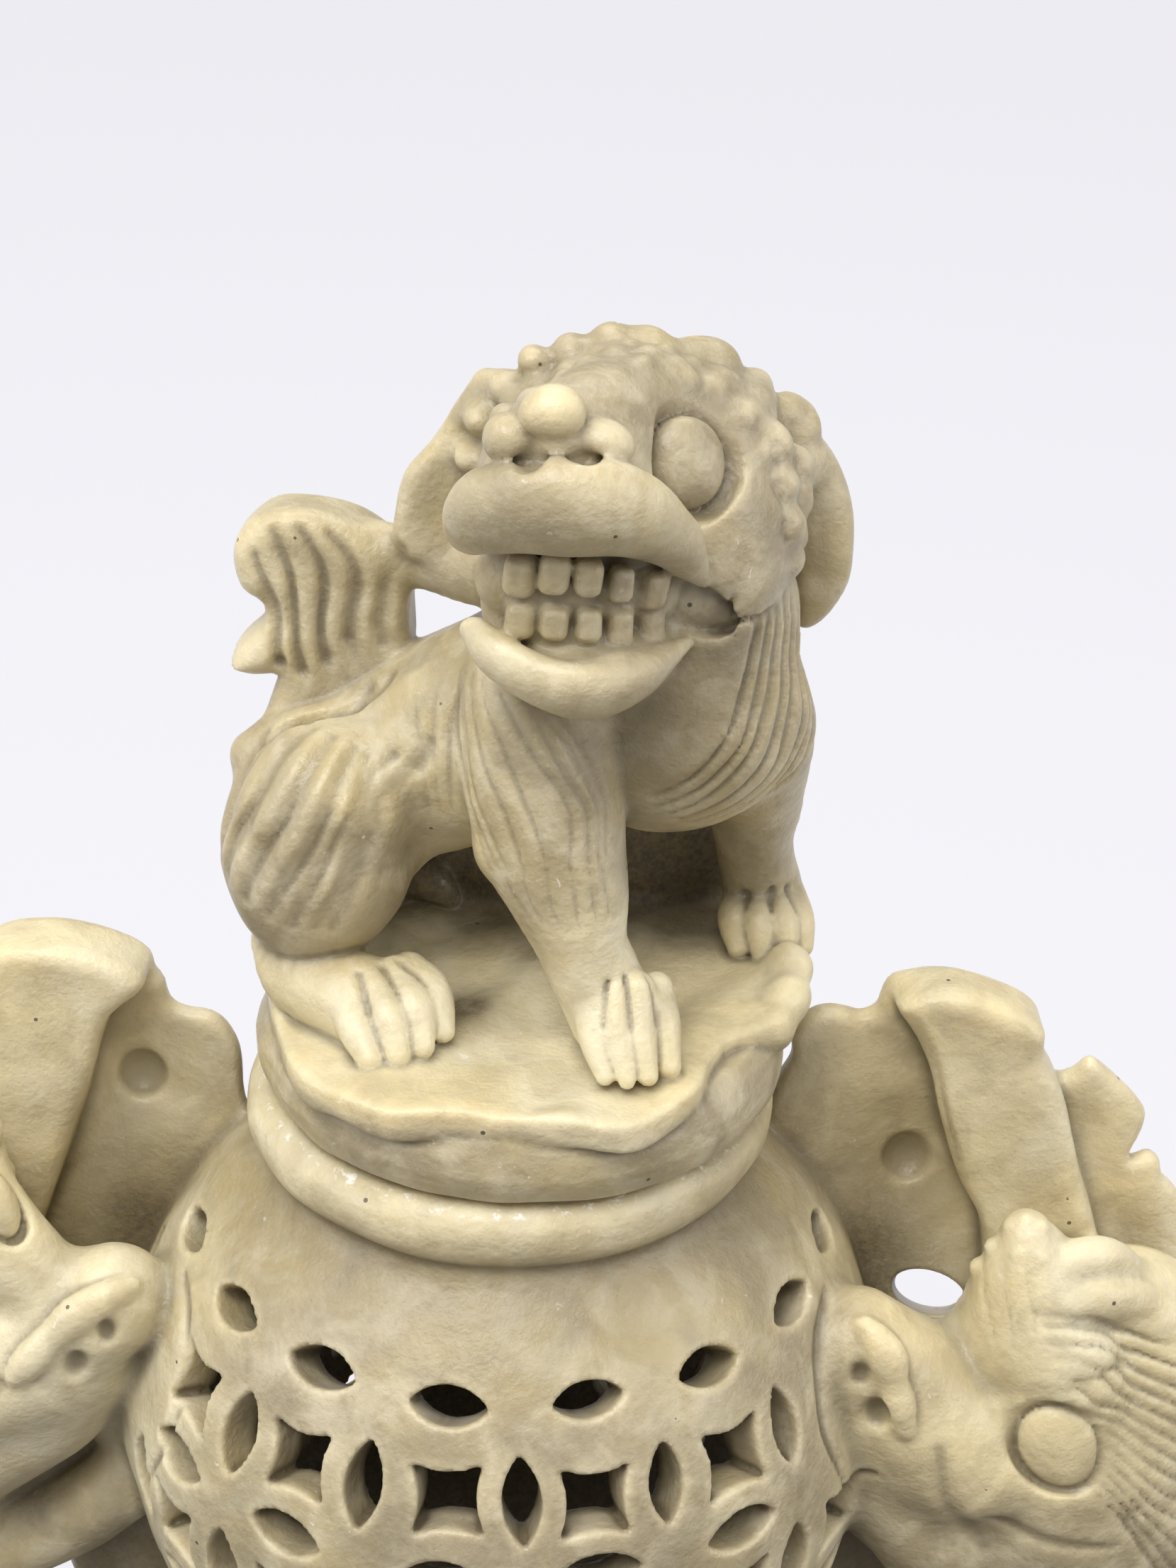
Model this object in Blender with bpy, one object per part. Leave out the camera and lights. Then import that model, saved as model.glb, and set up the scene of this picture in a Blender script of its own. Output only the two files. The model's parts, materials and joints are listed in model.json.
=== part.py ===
"""Carved stone censer: pierced globe jar with two dragon handles and a lid with a guardian lion."""
import math
import bpy
import bmesh
from mathutils import Euler, Matrix, Vector

# ---------------------------------------------------------------- driving dimensions (mm)
MM = 0.001
GAP = 0.3             # clearance kept between neighbouring carved elements
RIM_Z = 92.3          # height of the mouth ring's lower edge above the table
GLOBE_R = 46.0        # outside radius of the globe
GLOBE_Z = 54.0        # height of the globe's centre
WALL = 6.0            # wall of the pierced globe
BORE_R = 23.3         # radius of the mouth opening
NECK_R = 28.4         # radius of the neck under the ring
RING_R = 30.0         # outside radius of the mouth ring
RING_H = 6.4          # height of the mouth ring
PLUG_R = 22.7         # radius of the lid's plug
PLUG_DEPTH = 4.0      # depth of the plug below the ring
DRUM_R = 29.9         # radius of the lid's drum at its belly
DRUM_X = 1.0          # offset of the drum from the jar's axis
PLATE_LOW = 14.6      # underside of the rock plinth above RIM_Z
PLATE_TOP = 18.0      # top of the rock plinth above RIM_Z
FOOT_R = 31.0         # radius of the foot at the table
COLUMNS = 16          # columns of the pierced pattern
TURN = 2.9            # azimuth of the pattern, degrees

STONE = (0.52, 0.48, 0.33)
PALE = (0.66, 0.61, 0.42)
GREY = (0.46, 0.43, 0.33)

for old in list(bpy.data.objects):
    bpy.data.objects.remove(old, do_unlink=True)

SCENE = bpy.context.scene
PART = bpy.data.collections.new("foo_dog_statue")
SCENE.collection.children.link(PART)


# ---------------------------------------------------------------- mesh helpers
def up(points):
    """Points given from the ring's lower edge, moved to the table frame."""
    return [(p[0], p[1], p[2] + RIM_Z) for p in points]


def from_bmesh(bm):
    bmesh.ops.remove_doubles(bm, verts=bm.verts, dist=0.00001)
    bmesh.ops.recalc_face_normals(bm, faces=bm.faces)
    mesh = bpy.data.meshes.new("work")
    bm.to_mesh(mesh)
    bm.free()
    obj = bpy.data.objects.new("work", mesh)
    SCENE.collection.objects.link(obj)
    return obj


def ball(c, r, rot=(0, 0, 0), grow=0.0, seg=8, rings=6):
    """Ellipsoid with centre c, radii r and a rotation in degrees."""
    bm = bmesh.new()
    bmesh.ops.create_uvsphere(bm, u_segments=seg, v_segments=rings, radius=1.0)
    size = Matrix.Diagonal(((r[0] + grow) * MM, (r[1] + grow) * MM, (r[2] + grow) * MM, 1.0))
    turn = Euler([math.radians(a) for a in rot]).to_matrix().to_4x4()
    move = Matrix.Translation(Vector(c) * MM)
    bmesh.ops.transform(bm, matrix=move @ turn @ size, verts=bm.verts)
    return from_bmesh(bm)


def limb(points, radii, grow=0.0, sides=10):
    """Tapered tube through the points with a domed cap at each end."""
    pts = [Vector(p) for p in points]
    rad = [r + grow for r in radii]
    first = (pts[0] - pts[1]).normalized()
    last = (pts[-1] - pts[-2]).normalized()
    rows = [(pts[0] + first * rad[0] * 0.6, rad[0] * 0.62)]
    rows += [(p, r) for p, r in zip(pts, rad)]
    rows += [(pts[-1] + last * rad[-1] * 0.6, rad[-1] * 0.62)]
    bm = bmesh.new()
    side = (pts[1] - pts[0]).orthogonal().normalized()
    loops = []
    for i, (p, r) in enumerate(rows):
        a = rows[max(i - 1, 0)][0]
        b = rows[min(i + 1, len(rows) - 1)][0]
        axis = (b - a).normalized()
        side = (side - axis * side.dot(axis)).normalized()
        other = axis.cross(side)
        loop = []
        for k in range(sides):
            t = 2 * math.pi * k / sides
            loop.append(bm.verts.new((p + (side * math.cos(t) + other * math.sin(t)) * r) * MM))
        loops.append(loop)
    for low, high in zip(loops, loops[1:]):
        for k in range(sides):
            n = (k + 1) % sides
            bm.faces.new((low[k], low[n], high[n], high[k]))
    tips = (rows[0][0] + first * rad[0] * 0.35, rows[-1][0] + last * rad[-1] * 0.35)
    for tip, loop in ((tips[0], loops[0]), (tips[1], loops[-1])):
        v = bm.verts.new(tip * MM)
        for k in range(sides):
            bm.faces.new((v, loop[k], loop[(k + 1) % sides]))
    return from_bmesh(bm)


def leaf(outline, low, high, plane="xz", edge=1.0, grow=0.0):
    """Flat carved element: a closed outline with thickness and softened edges."""
    n = len(outline)
    area = sum(outline[i][0] * outline[(i + 1) % n][1] - outline[(i + 1) % n][0] * outline[i][1]
               for i in range(n))
    sign = 1.0 if area > 0 else -1.0

    def shifted(d):
        out = []
        for i in range(n):
            a = Vector(outline[i - 1])
            b = Vector(outline[i])
            c = Vector(outline[(i + 1) % n])
            u = (b - a).normalized()
            v = (c - b).normalized()
            n1 = Vector((u.y, -u.x)) * sign
            n2 = Vector((v.y, -v.x)) * sign
            m = (n1 + n2).normalized()
            k = d / max(m.dot(n1), 0.5)
            out.append(b + m * k)
        return out

    rows = [(shifted(grow - edge), low - grow), (shifted(grow), low + edge - grow),
            (shifted(grow), high - edge + grow), (shifted(grow - edge), high + grow)]
    bm = bmesh.new()
    loops = []
    for pts, h in rows:
        loop = []
        for p in pts:
            xyz = (p.x, h, p.y) if plane == "xz" else (p.x, p.y, h)
            loop.append(bm.verts.new(Vector(xyz) * MM))
        loops.append(loop)
    for a, b in zip(loops, loops[1:]):
        for k in range(n):
            m = (k + 1) % n
            bm.faces.new((a[k], a[m], b[m], b[k]))
    bm.faces.new(loops[0])
    bm.faces.new(loops[-1])
    bmesh.ops.triangulate(bm, faces=[f for f in bm.faces if len(f.verts) > 4])
    return from_bmesh(bm)


def turned(profile, seg=40, x=0.0, start=0.0):
    """Closed (radius, height) profile turned about the vertical axis."""
    bm = bmesh.new()
    loops = []
    for k in range(seg):
        t = 2 * math.pi * k / seg + math.radians(start)
        loops.append([bm.verts.new(Vector((x + r * math.cos(t), r * math.sin(t), z)) * MM)
                      for r, z in profile])
    n = len(profile)
    for k in range(seg):
        a = loops[k]
        b = loops[(k + 1) % seg]
        for i in range(n):
            j = (i + 1) % n
            if profile[i][0] < 1e-9 and profile[j][0] < 1e-9:
                continue
            quad = [a[i], b[i], b[j], a[j]]
            if profile[i][0] < 1e-9:
                quad = [a[i], b[j], a[j]]
            if profile[j][0] < 1e-9:
                quad = [a[i], b[i], a[j]]
            bm.faces.new(quad)
    return from_bmesh(bm)


def boolean(base, other, how):
    mod = base.modifiers.new("cut", "BOOLEAN")
    mod.operation = how
    mod.solver = "EXACT"
    mod.object = other
    graph = bpy.context.evaluated_depsgraph_get()
    mesh = bpy.data.meshes.new_from_object(base.evaluated_get(graph))
    base.modifiers.clear()
    old = base.data
    base.data = mesh
    bpy.data.meshes.remove(old)
    bpy.data.objects.remove(other, do_unlink=True)
    return base


def united(shapes, grow=0.0):
    """Union of a list of shape functions."""
    base = shapes[0](grow)
    for shape in shapes[1:]:
        base = boolean(base, shape(grow), "UNION")
    return base


def material(name, colour, rough):
    mat = bpy.data.materials.new(name)
    mat.use_nodes = True
    shader = mat.node_tree.nodes["Principled BSDF"]
    shader.inputs["Base Color"].default_value = (*colour, 1.0)
    shader.inputs["Roughness"].default_value = rough
    shader.inputs["Metallic"].default_value = 0.0
    mat.diffuse_color = (*colour, 1.0)
    return mat


def spread(verts):
    """Size of the box round some vertices."""
    spans = [max(v.co[i] for v in verts) - min(v.co[i] for v in verts) for i in range(3)]
    return spans[0] * spans[1] * spans[2]


def keep(name, obj, colour=STONE, rough=0.38):
    """Clean a finished solid, keep its largest body and give it its name and finish."""
    bm = bmesh.new()
    bm.from_mesh(obj.data)
    bmesh.ops.remove_doubles(bm, verts=bm.verts, dist=0.000004)
    bmesh.ops.dissolve_degenerate(bm, edges=bm.edges, dist=0.000002)
    rims = [e for e in bm.edges if e.is_boundary]
    if rims:
        bmesh.ops.holes_fill(bm, edges=rims, sides=0)
    bm.verts.ensure_lookup_table()
    left = set(bm.verts)
    bodies = []
    while left:
        stack = [left.pop()]
        body = set(stack)
        while stack:
            for e in stack.pop().link_edges:
                for v in e.verts:
                    if v in left:
                        left.discard(v)
                        body.add(v)
                        stack.append(v)
        bodies.append(body)
    bodies.sort(key=spread)
    for body in bodies[:-1]:
        bmesh.ops.delete(bm, geom=list(body), context="VERTS")
    bmesh.ops.triangulate(bm, faces=bm.faces)
    bmesh.ops.recalc_face_normals(bm, faces=bm.faces)
    bm.to_mesh(obj.data)
    bm.free()
    for poly in obj.data.polygons:
        poly.use_smooth = False
    obj.name = name
    obj.data.name = name
    obj.data.materials.clear()
    obj.data.materials.append(material(name + "_stone", colour, rough))
    SCENE.collection.objects.unlink(obj)
    PART.objects.link(obj)
    return obj


SHAPES = {}


def element(name, shapes, cuts=(), colour=STONE, rough=0.38):
    """One carved element: the union of its shapes less its neighbours grown by GAP."""
    SHAPES[name] = shapes
    base = united(shapes)
    for cut in cuts:
        for shape in (SHAPES[cut] if isinstance(cut, str) else [cut]):
            base = boolean(base, shape(GAP), "DIFFERENCE")
    return keep(name, base, colour, rough)


def B(c, r, rot=(0, 0, 0), seg=8, rings=6):
    c = (c[0], c[1], c[2] + RIM_Z)
    return lambda grow: ball(c, r, rot, grow, seg, rings)


def L(points, radii, sides=8):
    return lambda grow: limb(up(points), radii, grow, sides)


def S(outline, low, high, edge=1.0):
    """Leaf in the x-z plane, heights given from the ring's lower edge."""
    lifted = [(x, z + RIM_Z) for x, z in outline]
    return lambda grow: leaf(lifted, low, high, "xz", edge, grow)


# ---------------------------------------------------------------- pierced globe
def sphere_rows(radius, latitudes):
    return [(radius * math.cos(math.radians(a)), GLOBE_Z + radius * math.sin(math.radians(a)))
            for a in latitudes]


def globe_shell():
    inner_r = GLOBE_R - WALL
    shoulder = math.degrees(math.acos(NECK_R / GLOBE_R))
    throat = math.degrees(math.acos(BORE_R / inner_r))
    between = [-72, -56, -40, -28.2, -16.8, -5.5, 5.8, 17, 28.3, 40]
    profile = [(0.0, GLOBE_Z - GLOBE_R)]
    profile += sphere_rows(GLOBE_R, between + [shoulder])
    profile += [(NECK_R, RIM_Z - GAP), (BORE_R, RIM_Z - GAP)]
    profile += sphere_rows(inner_r, [throat] + [35, 17, -5.5, -28.2, -56, -72])
    profile += [(0.0, GLOBE_Z - inner_r)]
    return turned(profile, 2 * COLUMNS, 0.0, TURN - 90 + 90.0 / COLUMNS)


def opening(azimuth, latitude, outline):
    """Cutter through the wall: an outline (across, along) in mm pushed in level with the table."""
    a = math.radians(azimuth)
    lat = math.radians(latitude)
    out = Vector((math.sin(a), -math.cos(a), 0.0))
    across = Vector((math.cos(a), math.sin(a), 0.0))
    centre = out * GLOBE_R * math.cos(lat) + Vector((0, 0, GLOBE_Z + GLOBE_R * math.sin(lat)))
    rise = Vector((0, 0, 1)) * max(math.cos(lat), 0.82)
    near = [centre + out * 7 + across * u + rise * v for u, v in outline]
    far = [centre - out * 19 + across * u * 0.75 + rise * v for u, v in outline]
    return near, far


def pierced_globe():
    square = [(-3.8, -3.2), (3.8, -3.2), (3.8, 3.2), (-3.8, 3.2)]
    wide = [(-5.3, 0), (-2.2, -2.4), (2.2, -2.4), (5.3, 0), (2.2, 2.4), (-2.2, 2.4)]
    tall = [(0, -5.4), (1.9, -2.2), (1.9, 2.2), (0, 5.4), (-1.9, 2.2), (-1.9, -2.2)]
    pitch = 360.0 / COLUMNS
    bm = bmesh.new()
    for i in range(COLUMNS):
        here = TURN + (i + 0.5) * pitch
        half = here + 0.5 * pitch
        cells = [(here, lat, wide) for lat in (34.0, 11.5, -11.0, -34.0)]
        cells += [(here, lat, square) for lat in (22.5, 0.0, -22.5)]
        cells += [(half, lat, tall) for lat in (22.5, 0.0, -22.5)]
        for azimuth, latitude, outline in cells:
            shrink = math.cos(math.radians(latitude)) ** 0.6
            shape = [(u * shrink, v) for u, v in outline]
            near, far = opening(azimuth, latitude, shape)
            a = [bm.verts.new(p * MM) for p in near]
            b = [bm.verts.new(p * MM) for p in far]
            n = len(a)
            for k in range(n):
                m = (k + 1) % n
                bm.faces.new((a[k], a[m], b[m], b[k]))
            bm.faces.new(a)
            bm.faces.new(b)
    return boolean(globe_shell(), from_bmesh(bm), "DIFFERENCE")


def globe_solid(grow):
    return ball((0, 0, GLOBE_Z), (GLOBE_R, GLOBE_R, GLOBE_R), (0, 0, 0), grow + 0.1, 32, 24)


keep("jar_globe", pierced_globe(), STONE, 0.4)

rim = RIM_Z
keep("mouth_ring", turned([
    (BORE_R, rim), (NECK_R - 0.5, rim), (RING_R - 1.0, rim + 0.9), (RING_R, rim + 2.6), (RING_R, rim + 3.8),
    (RING_R - 1.0, rim + 5.5), (NECK_R - 0.6, rim + RING_H), (BORE_R, rim + RING_H)], 36), GREY)

under = sphere_rows(GLOBE_R + GAP, [-90, -80, -70, -60, -52])
foot = [(0.0, 0.0), (FOOT_R, 0.0), (FOOT_R, 3.0), (FOOT_R - 3.2, 6.5), (FOOT_R - 3.0, 10.0), under[-1]]
keep("foot_ring", turned(foot + under[-2:0:-1] + [(0.0, under[0][1])], 36), GREY)

# ---------------------------------------------------------------- dragon handles
RIB = [(44, 15), (49, 16.5), (56, 13), (61.5, 10), (63, 0), (66, -8), (72, -22), (70, -34), (60, -34),
       (57, -22), (52, -8), (48, 4)]
FIN_IN = [(33.2, -1), (32.8, 5), (34, 9.5), (38, 11.8), (43.5, 13.2), (47.4, 3), (51.2, -9), (56, -22),
          (50, -30), (44, -34), (36, -24)]
FIN_OUT = [(61, 8), (65.4, 3.4), (69, 6), (74, 3), (76, -2), (75.4, -7), (80, -9), (84, -15), (80, -24),
           (70, -24), (63, -8)]


def handed(side, outline):
    return [(side * x, z) for x, z in outline]


for tag, side in (("right", 1), ("left", -1)):
    element("dragon_eye_" + tag, [B((side * 64.0, -21.6, -29.0), (4.2, 2.6, 3.3), (0, side * 28, 0))],
            colour=PALE)
    element("nose_ridge_" + tag, [
        B((side * 42.6, -19.5, -15.5), (3.2, 3.0, 3.4)), B((side * 45.4, -20.5, -20), (3.0, 3.0, 3.4)),
        B((side * 50.0, -21.6, -25.5), (2.8, 3.0, 5.2), (0, side * -36, 0))], [globe_solid], PALE)
    element("dragon_crest_" + tag, [
        B((side * 57, -12, -7), (3.6, 3.4, 3.4)), B((side * 61.6, -13.4, -10.6), (3.4, 3.2, 3.4)),
        B((side * 54.8, -12.6, -12.2), (3.2, 3.4, 3.8))], colour=PALE)
    head_cuts = ["dragon_eye_" + tag, "nose_ridge_" + tag, "dragon_crest_" + tag, globe_solid]
    element("dragon_head_" + tag, [
        L([(side * 46, -11, -22), (side * 56, -9.4, -29), (side * 66, -7, -32)], (11.6, 14.2, 13.6), 12)],
        head_cuts)
    element("dragon_jaw_" + tag, [
        L([(side * 42, -14, -44.5), (side * 50, -14, -51.5), (side * 60, -11, -57.5), (side * 67, -8, -60)],
          (4.5, 5.5, 6.0, 4.0))], [globe_solid, "dragon_head_" + tag])
    strands = [B((side * 70, -5, -28), (12, 9.5, 18), (0, 0, 0), 10, 8)]
    for k, z in enumerate((-12, -21, -31, -42)):
        strands.append(L([(side * (66 + k), -8.5, z - 2 - k), (side * (76 + k), -9, z),
                          (side * (86 + k * (1 - k)), -6.5, z - 4)], (4.0, 4.2, 2.2)))
    element("dragon_mane_" + tag, strands,
            ["dragon_head_" + tag, "dragon_crest_" + tag, "dragon_eye_" + tag, "dragon_jaw_" + tag])
    blocks = ["dragon_head_" + tag, "dragon_mane_" + tag, "dragon_crest_" + tag, globe_solid]
    element("tail_rib_" + tag, [S(handed(side, RIB), 0.0, 14.0, 4.0)], blocks)
    neck = (lambda grow: turned([(0.0, 60.0), (RING_R + 1.5 + grow, 60.0), (RING_R + 1.5 + grow, 120.0),
                                 (0.0, 120.0)], 32))
    dent = B((side * 44.2, 4.4, -6), (3.4, 2.4, 3.6))
    element("inner_fin_" + tag, [S(handed(side, FIN_IN), 4.0, 11.0, 1.5)],
            ["tail_rib_" + tag] + blocks + [neck, dent], PALE)
    element("outer_fin_" + tag, [S(handed(side, FIN_OUT), 4.0, 10.0, 1.2)],
            ["tail_rib_" + tag] + blocks, PALE)

# ---------------------------------------------------------------- lid
low = RIM_Z + RING_H + GAP
keep("lid_spigot", turned([(0.0, rim - PLUG_DEPTH), (PLUG_R - 1.0, rim - PLUG_DEPTH),
                           (PLUG_R, rim - PLUG_DEPTH + 1.0), (PLUG_R, low), (0.0, low)], 36), GREY)
drum_low = low + GAP
keep("lid_drum", turned([
    (0.0, drum_low), (NECK_R - 0.6, drum_low), (DRUM_R - 0.4, drum_low + 2.0), (DRUM_R, rim + 11.0),
    (DRUM_R - 1.0, rim + 13.2), (DRUM_R - 3.5, rim + PLATE_LOW - GAP), (0.0, rim + PLATE_LOW - GAP)],
    36, DRUM_X), GREY)

PLATE = [(-28, 5), (-26, -6), (-24.7, -14), (-22.3, -20.5), (-17.4, -25.8), (-12.8, -27.5), (-5.8, -27.6),
         (0.4, -28.4), (6.1, -30.1), (11.8, -30.2), (16.3, -27.3), (19.7, -21.6), (23, -12.5), (29.9, -7.2),
         (33.4, -4), (34.2, 2), (33, 12), (28, 20.5), (18, 27), (6, 30), (-6, 29), (-17, 24.5), (-25, 15)]


def plinth(grow):
    return leaf(PLATE, RIM_Z + PLATE_LOW, RIM_Z + PLATE_TOP, "xy", 1.2, grow)


# ---------------------------------------------------------------- guardian lion
paws = {
    "forepaw_right": [B((9.6, -16, 21.6), (7.6, 8.8, 4.4), (0, 0, 6))],
    "hindpaw_right": [B((-16.5, -12.5, 21.4), (7.4, 9.6, 4.2), (0, 0, 38))],
    "forepaw_left": [B((28.0, 10.5, 21.6), (6.2, 8.4, 4.4), (0, 0, -8))],
    "hindpaw_left": [B((-15.5, 18.5, 21.4), (7.0, 8.4, 4.2), (0, 0, -50))],
}
toes = {
    "forepaw_right": [(4.6, -23.2), (8.4, -24.6), (12.2, -24.2), (15.6, -21.4)],
    "hindpaw_right": [(-18.4, -20.4), (-14.8, -20.8), (-11.4, -19.0), (-9.2, -15.6)],
    "forepaw_left": [(24.4, 4.8), (27.2, 3.2), (30.2, 3.4), (33.0, 5.6)],
    "hindpaw_left": [(-11.0, 13.2), (-8.6, 16.4), (-8.6, 20.0), (-10.6, 23.2)],
}
for name, shapes in paws.items():
    for x, y in toes[name]:
        shapes.append(B((x, y, 20.6), (2.5, 3.2, 2.6), (0, 0, 0), 7, 5))
    element(name, shapes, [plinth], PALE)
element("rock_plinth", [plinth], colour=STONE, rough=0.5)

element("foreleg_right", [L([(7, -8, 50), (2.5, -11.5, 43), (7.2, -14.4, 36), (9.4, -14.6, 25)],
                            (8.0, 7.0, 5.2, 5.4))], ["forepaw_right"])
element("foreleg_left", [L([(24, 3, 46), (26.5, 8, 37), (27.2, 11, 25)], (8.0, 5.6, 5.2))],
        ["forepaw_left"])
element("hindleg_right", [B((-21.6, -5.5, 36.6), (10.4, 8.4, 13.6), (0, -8, 0)),
                          L([(-24, -6, 27), (-20.5, -9, 22.5)], (4.4, 3.6))], ["hindpaw_right", plinth])
element("hindleg_left", [B((-18.5, 15.0, 36.0), (10.4, 8.0, 13.6)),
                         L([(-20, 15, 27), (-17.5, 17, 22.5)], (4.4, 3.6))], ["hindpaw_left", plinth])
legs = ["foreleg_right", "foreleg_left", "hindleg_right", "hindleg_left"]
element("chest_mane", [B((15.4, -1, 50), (14.6, 13.4, 12.6)), B((13, -1, 60), (13.5, 12.5, 10.0)),
                       B((20.5, 1.5, 58), (11.5, 11.0, 12.0))], legs)
element("dog_torso", [B((-17, 4, 38.5), (13.0, 11.5, 9.5)), B((-3, 3, 43.5), (16.5, 11.0, 11.0)),
                      B((6, 3, 50), (12, 11, 9))], ["chest_mane"] + legs)
element("belly_web", [B((5, 20.5, 29), (21, 6.5, 17), (0, 0, 0), 12, 8)],
        ["dog_torso", "chest_mane", "forepaw_left", "hindpaw_left", plinth] + legs)

# head parts, the face turned to the dog's right
element("eye_left", [B((15.6, -15.6, 82.0), (3.6, 2.9, 4.0))], colour=PALE)
element("eye_right", [B((-6.4, -10.5, 82.0), (2.8, 3.2, 4.0))], colour=PALE)
element("nose", [B((2.6, -25.0, 88.2), (3.5, 3.4, 3.3)), B((-1.6, -24.0, 85.2), (3.2, 3.0, 2.6)),
                 B((7.0, -23.4, 84.8), (3.2, 3.0, 2.6))], colour=PALE)
element("upper_lip", [L([(-7.4, -15, 74.0), (-3.6, -22.0, 78.6), (3.0, -25.4, 80.6), (10.0, -23, 77.6),
                         (16.0, -17.6, 73.0), (20.0, -12.5, 68.6)], (2.4, 3.2, 3.6, 3.4, 3.0, 2.2))],
        ["nose"], PALE)
element("upper_teeth", [L([(-3.4, -17.6, 75.4), (3.4, -20.6, 75.8), (10.6, -17.8, 73.6)],
                          (2.3, 2.5, 2.3), 6)], ["upper_lip"], PALE)
element("lower_teeth", [L([(-2.6, -17.0, 69.4), (4.4, -19.8, 69.0), (11.4, -17.2, 68.4)],
                          (2.1, 2.3, 2.1), 6)], ["upper_teeth"], PALE)
element("lower_jaw", [L([(-3.4, -17.4, 66.4), (0.4, -22, 64.4), (5.6, -23.6, 63.4), (11.0, -21.4, 64.6),
                         (15.4, -16.6, 66.6)], (2.4, 3.0, 3.2, 3.0, 2.4)),
                      B((6.4, -14, 64.0), (9.0, 9.4, 3.6), (16, 0, 0))],
        ["lower_teeth", "chest_mane", "upper_lip"], PALE)
element("crown_curls", [B(c, (4.2, 4.4, 4.0), (0, 0, 0), 7, 5) for c in (
    (-3.6, -3, 86.2), (1.8, -2.0, 88.6), (7.6, -1.0, 89.6), (13.4, 0, 89.0), (19.0, 1.6, 87.0),
    (23.6, 3.4, 83.6), (-1.0, 4.4, 86.4), (6.0, 6.2, 87.6), (13.0, 7.2, 87.0), (19.4, 8.6, 84.0))])
element("cheek_curls", [B(c, (3.6, 3.8, 3.6), (0, 0, 0), 7, 5) for c in (
    (22.6, -9.6, 80.0), (24.6, -8.6, 75.0), (24.2, -9.0, 69.8), (22.4, -9.4, 64.6), (25.6, -5.6, 77.8))],
        ["crown_curls", "chest_mane", "upper_lip", "eye_left"])
face = ["eye_left", "eye_right", "nose", "upper_lip", "upper_teeth", "lower_teeth", "lower_jaw",
        "crown_curls", "cheek_curls", "chest_mane"]
element("dog_head", [B((9.6, -1, 76), (16.6, 14.2, 13.6), (0, 0, 0), 12, 8),
                     L([(8, -6, 80), (3.4, -20.5, 82.8)], (9.0, 5.6)),
                     B((4, -13, 73.6), (8.0, 7.4, 4.4))], face)
element("ear_left", [B((28.6, 3.2, 77.5), (4.6, 3.2, 6.0), (0, 24, 0)),
                     L([(30.0, 4, 78), (33.4, 5.6, 71), (31.2, 6.2, 63.4)], (2.8, 3.0, 2.4), 8)],
        ["dog_head", "crown_curls", "cheek_curls", "chest_mane"], PALE)
element("ear_right", [B((-6.4, 3.4, 79.6), (4.8, 3.2, 5.6), (0, -24, 0)),
                      L([(-8.4, 4, 79), (-12.8, 5.0, 74.4), (-13.0, 5.8, 70.4)], (2.8, 3.0, 2.6), 8)],
        ["dog_head", "crown_curls"], PALE)
TAIL = [(-25, 71), (-29.5, 67), (-30.6, 61), (-29.0, 58), (-31.2, 54.5), (-27.5, 51), (-25.5, 47),
        (-18.5, 46), (-13.4, 50), (-12.4, 56), (-12.6, 66), (-17.5, 67.5), (-21, 70)]
element("tail_plume", [S(TAIL, 2.5, 12.5, 3.2)], ["dog_torso", "hindleg_right", "hindleg_left"], PALE)
element("tail_bridge", [L([(-16, 6.5, 66.0), (-10, 5.6, 67.0), (-3, 4.4, 69.0)], (2.8, 2.6, 3.0), 8)],
        ["tail_plume", "ear_right", "dog_head"], PALE)
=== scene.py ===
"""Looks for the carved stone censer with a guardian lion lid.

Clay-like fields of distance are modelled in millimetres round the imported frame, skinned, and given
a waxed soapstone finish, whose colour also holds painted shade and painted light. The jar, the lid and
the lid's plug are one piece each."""
import json
import math

import bpy
import numpy as np
from mathutils import Matrix, Vector


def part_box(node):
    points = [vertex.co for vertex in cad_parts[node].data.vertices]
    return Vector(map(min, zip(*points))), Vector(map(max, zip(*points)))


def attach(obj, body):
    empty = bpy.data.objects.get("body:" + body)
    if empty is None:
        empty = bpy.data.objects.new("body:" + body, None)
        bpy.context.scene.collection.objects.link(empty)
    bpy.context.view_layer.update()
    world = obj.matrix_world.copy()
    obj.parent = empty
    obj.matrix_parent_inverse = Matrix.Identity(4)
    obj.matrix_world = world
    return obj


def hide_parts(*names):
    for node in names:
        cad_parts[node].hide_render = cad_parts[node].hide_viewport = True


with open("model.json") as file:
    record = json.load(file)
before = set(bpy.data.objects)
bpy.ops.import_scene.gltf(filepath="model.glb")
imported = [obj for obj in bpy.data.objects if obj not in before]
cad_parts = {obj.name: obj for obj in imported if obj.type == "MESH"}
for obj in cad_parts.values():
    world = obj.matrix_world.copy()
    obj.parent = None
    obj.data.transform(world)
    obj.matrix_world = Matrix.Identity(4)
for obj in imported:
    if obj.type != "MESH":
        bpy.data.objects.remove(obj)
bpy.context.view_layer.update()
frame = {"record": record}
MM = 0.001
rng = np.random.default_rng(7)
scene = bpy.context.scene

# The working axes: millimetres from the jar's axis, heights from the lower edge of the mouth ring.
ring_lo, ring_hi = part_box("mouth_ring")
AXIS = Vector(((ring_lo.x + ring_hi.x) / 2, (ring_lo.y + ring_hi.y) / 2, ring_lo.z))
RING_R = (ring_hi.x - ring_lo.x) / 2 / MM
globe_lo, globe_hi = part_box("jar_globe")
GLOBE_R = (globe_hi.x - globe_lo.x) / 2 / MM
GLOBE_Z = (globe_lo.z - AXIS.z) / MM + GLOBE_R
TABLE_Z = -AXIS.z / MM
WALL = 6.2            # thickness of the pierced globe
BORE_R = 23.4         # radius of the jar's mouth
DRUM_X = 1.0          # the lid's drum sits a little off the jar's axis
PLUG_R = 22.7         # radius of the plug under the lid
RING_TOP = 6.7        # the ring's seat, cut level
SEAT_R = 30.8         # radius of that cut
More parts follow.
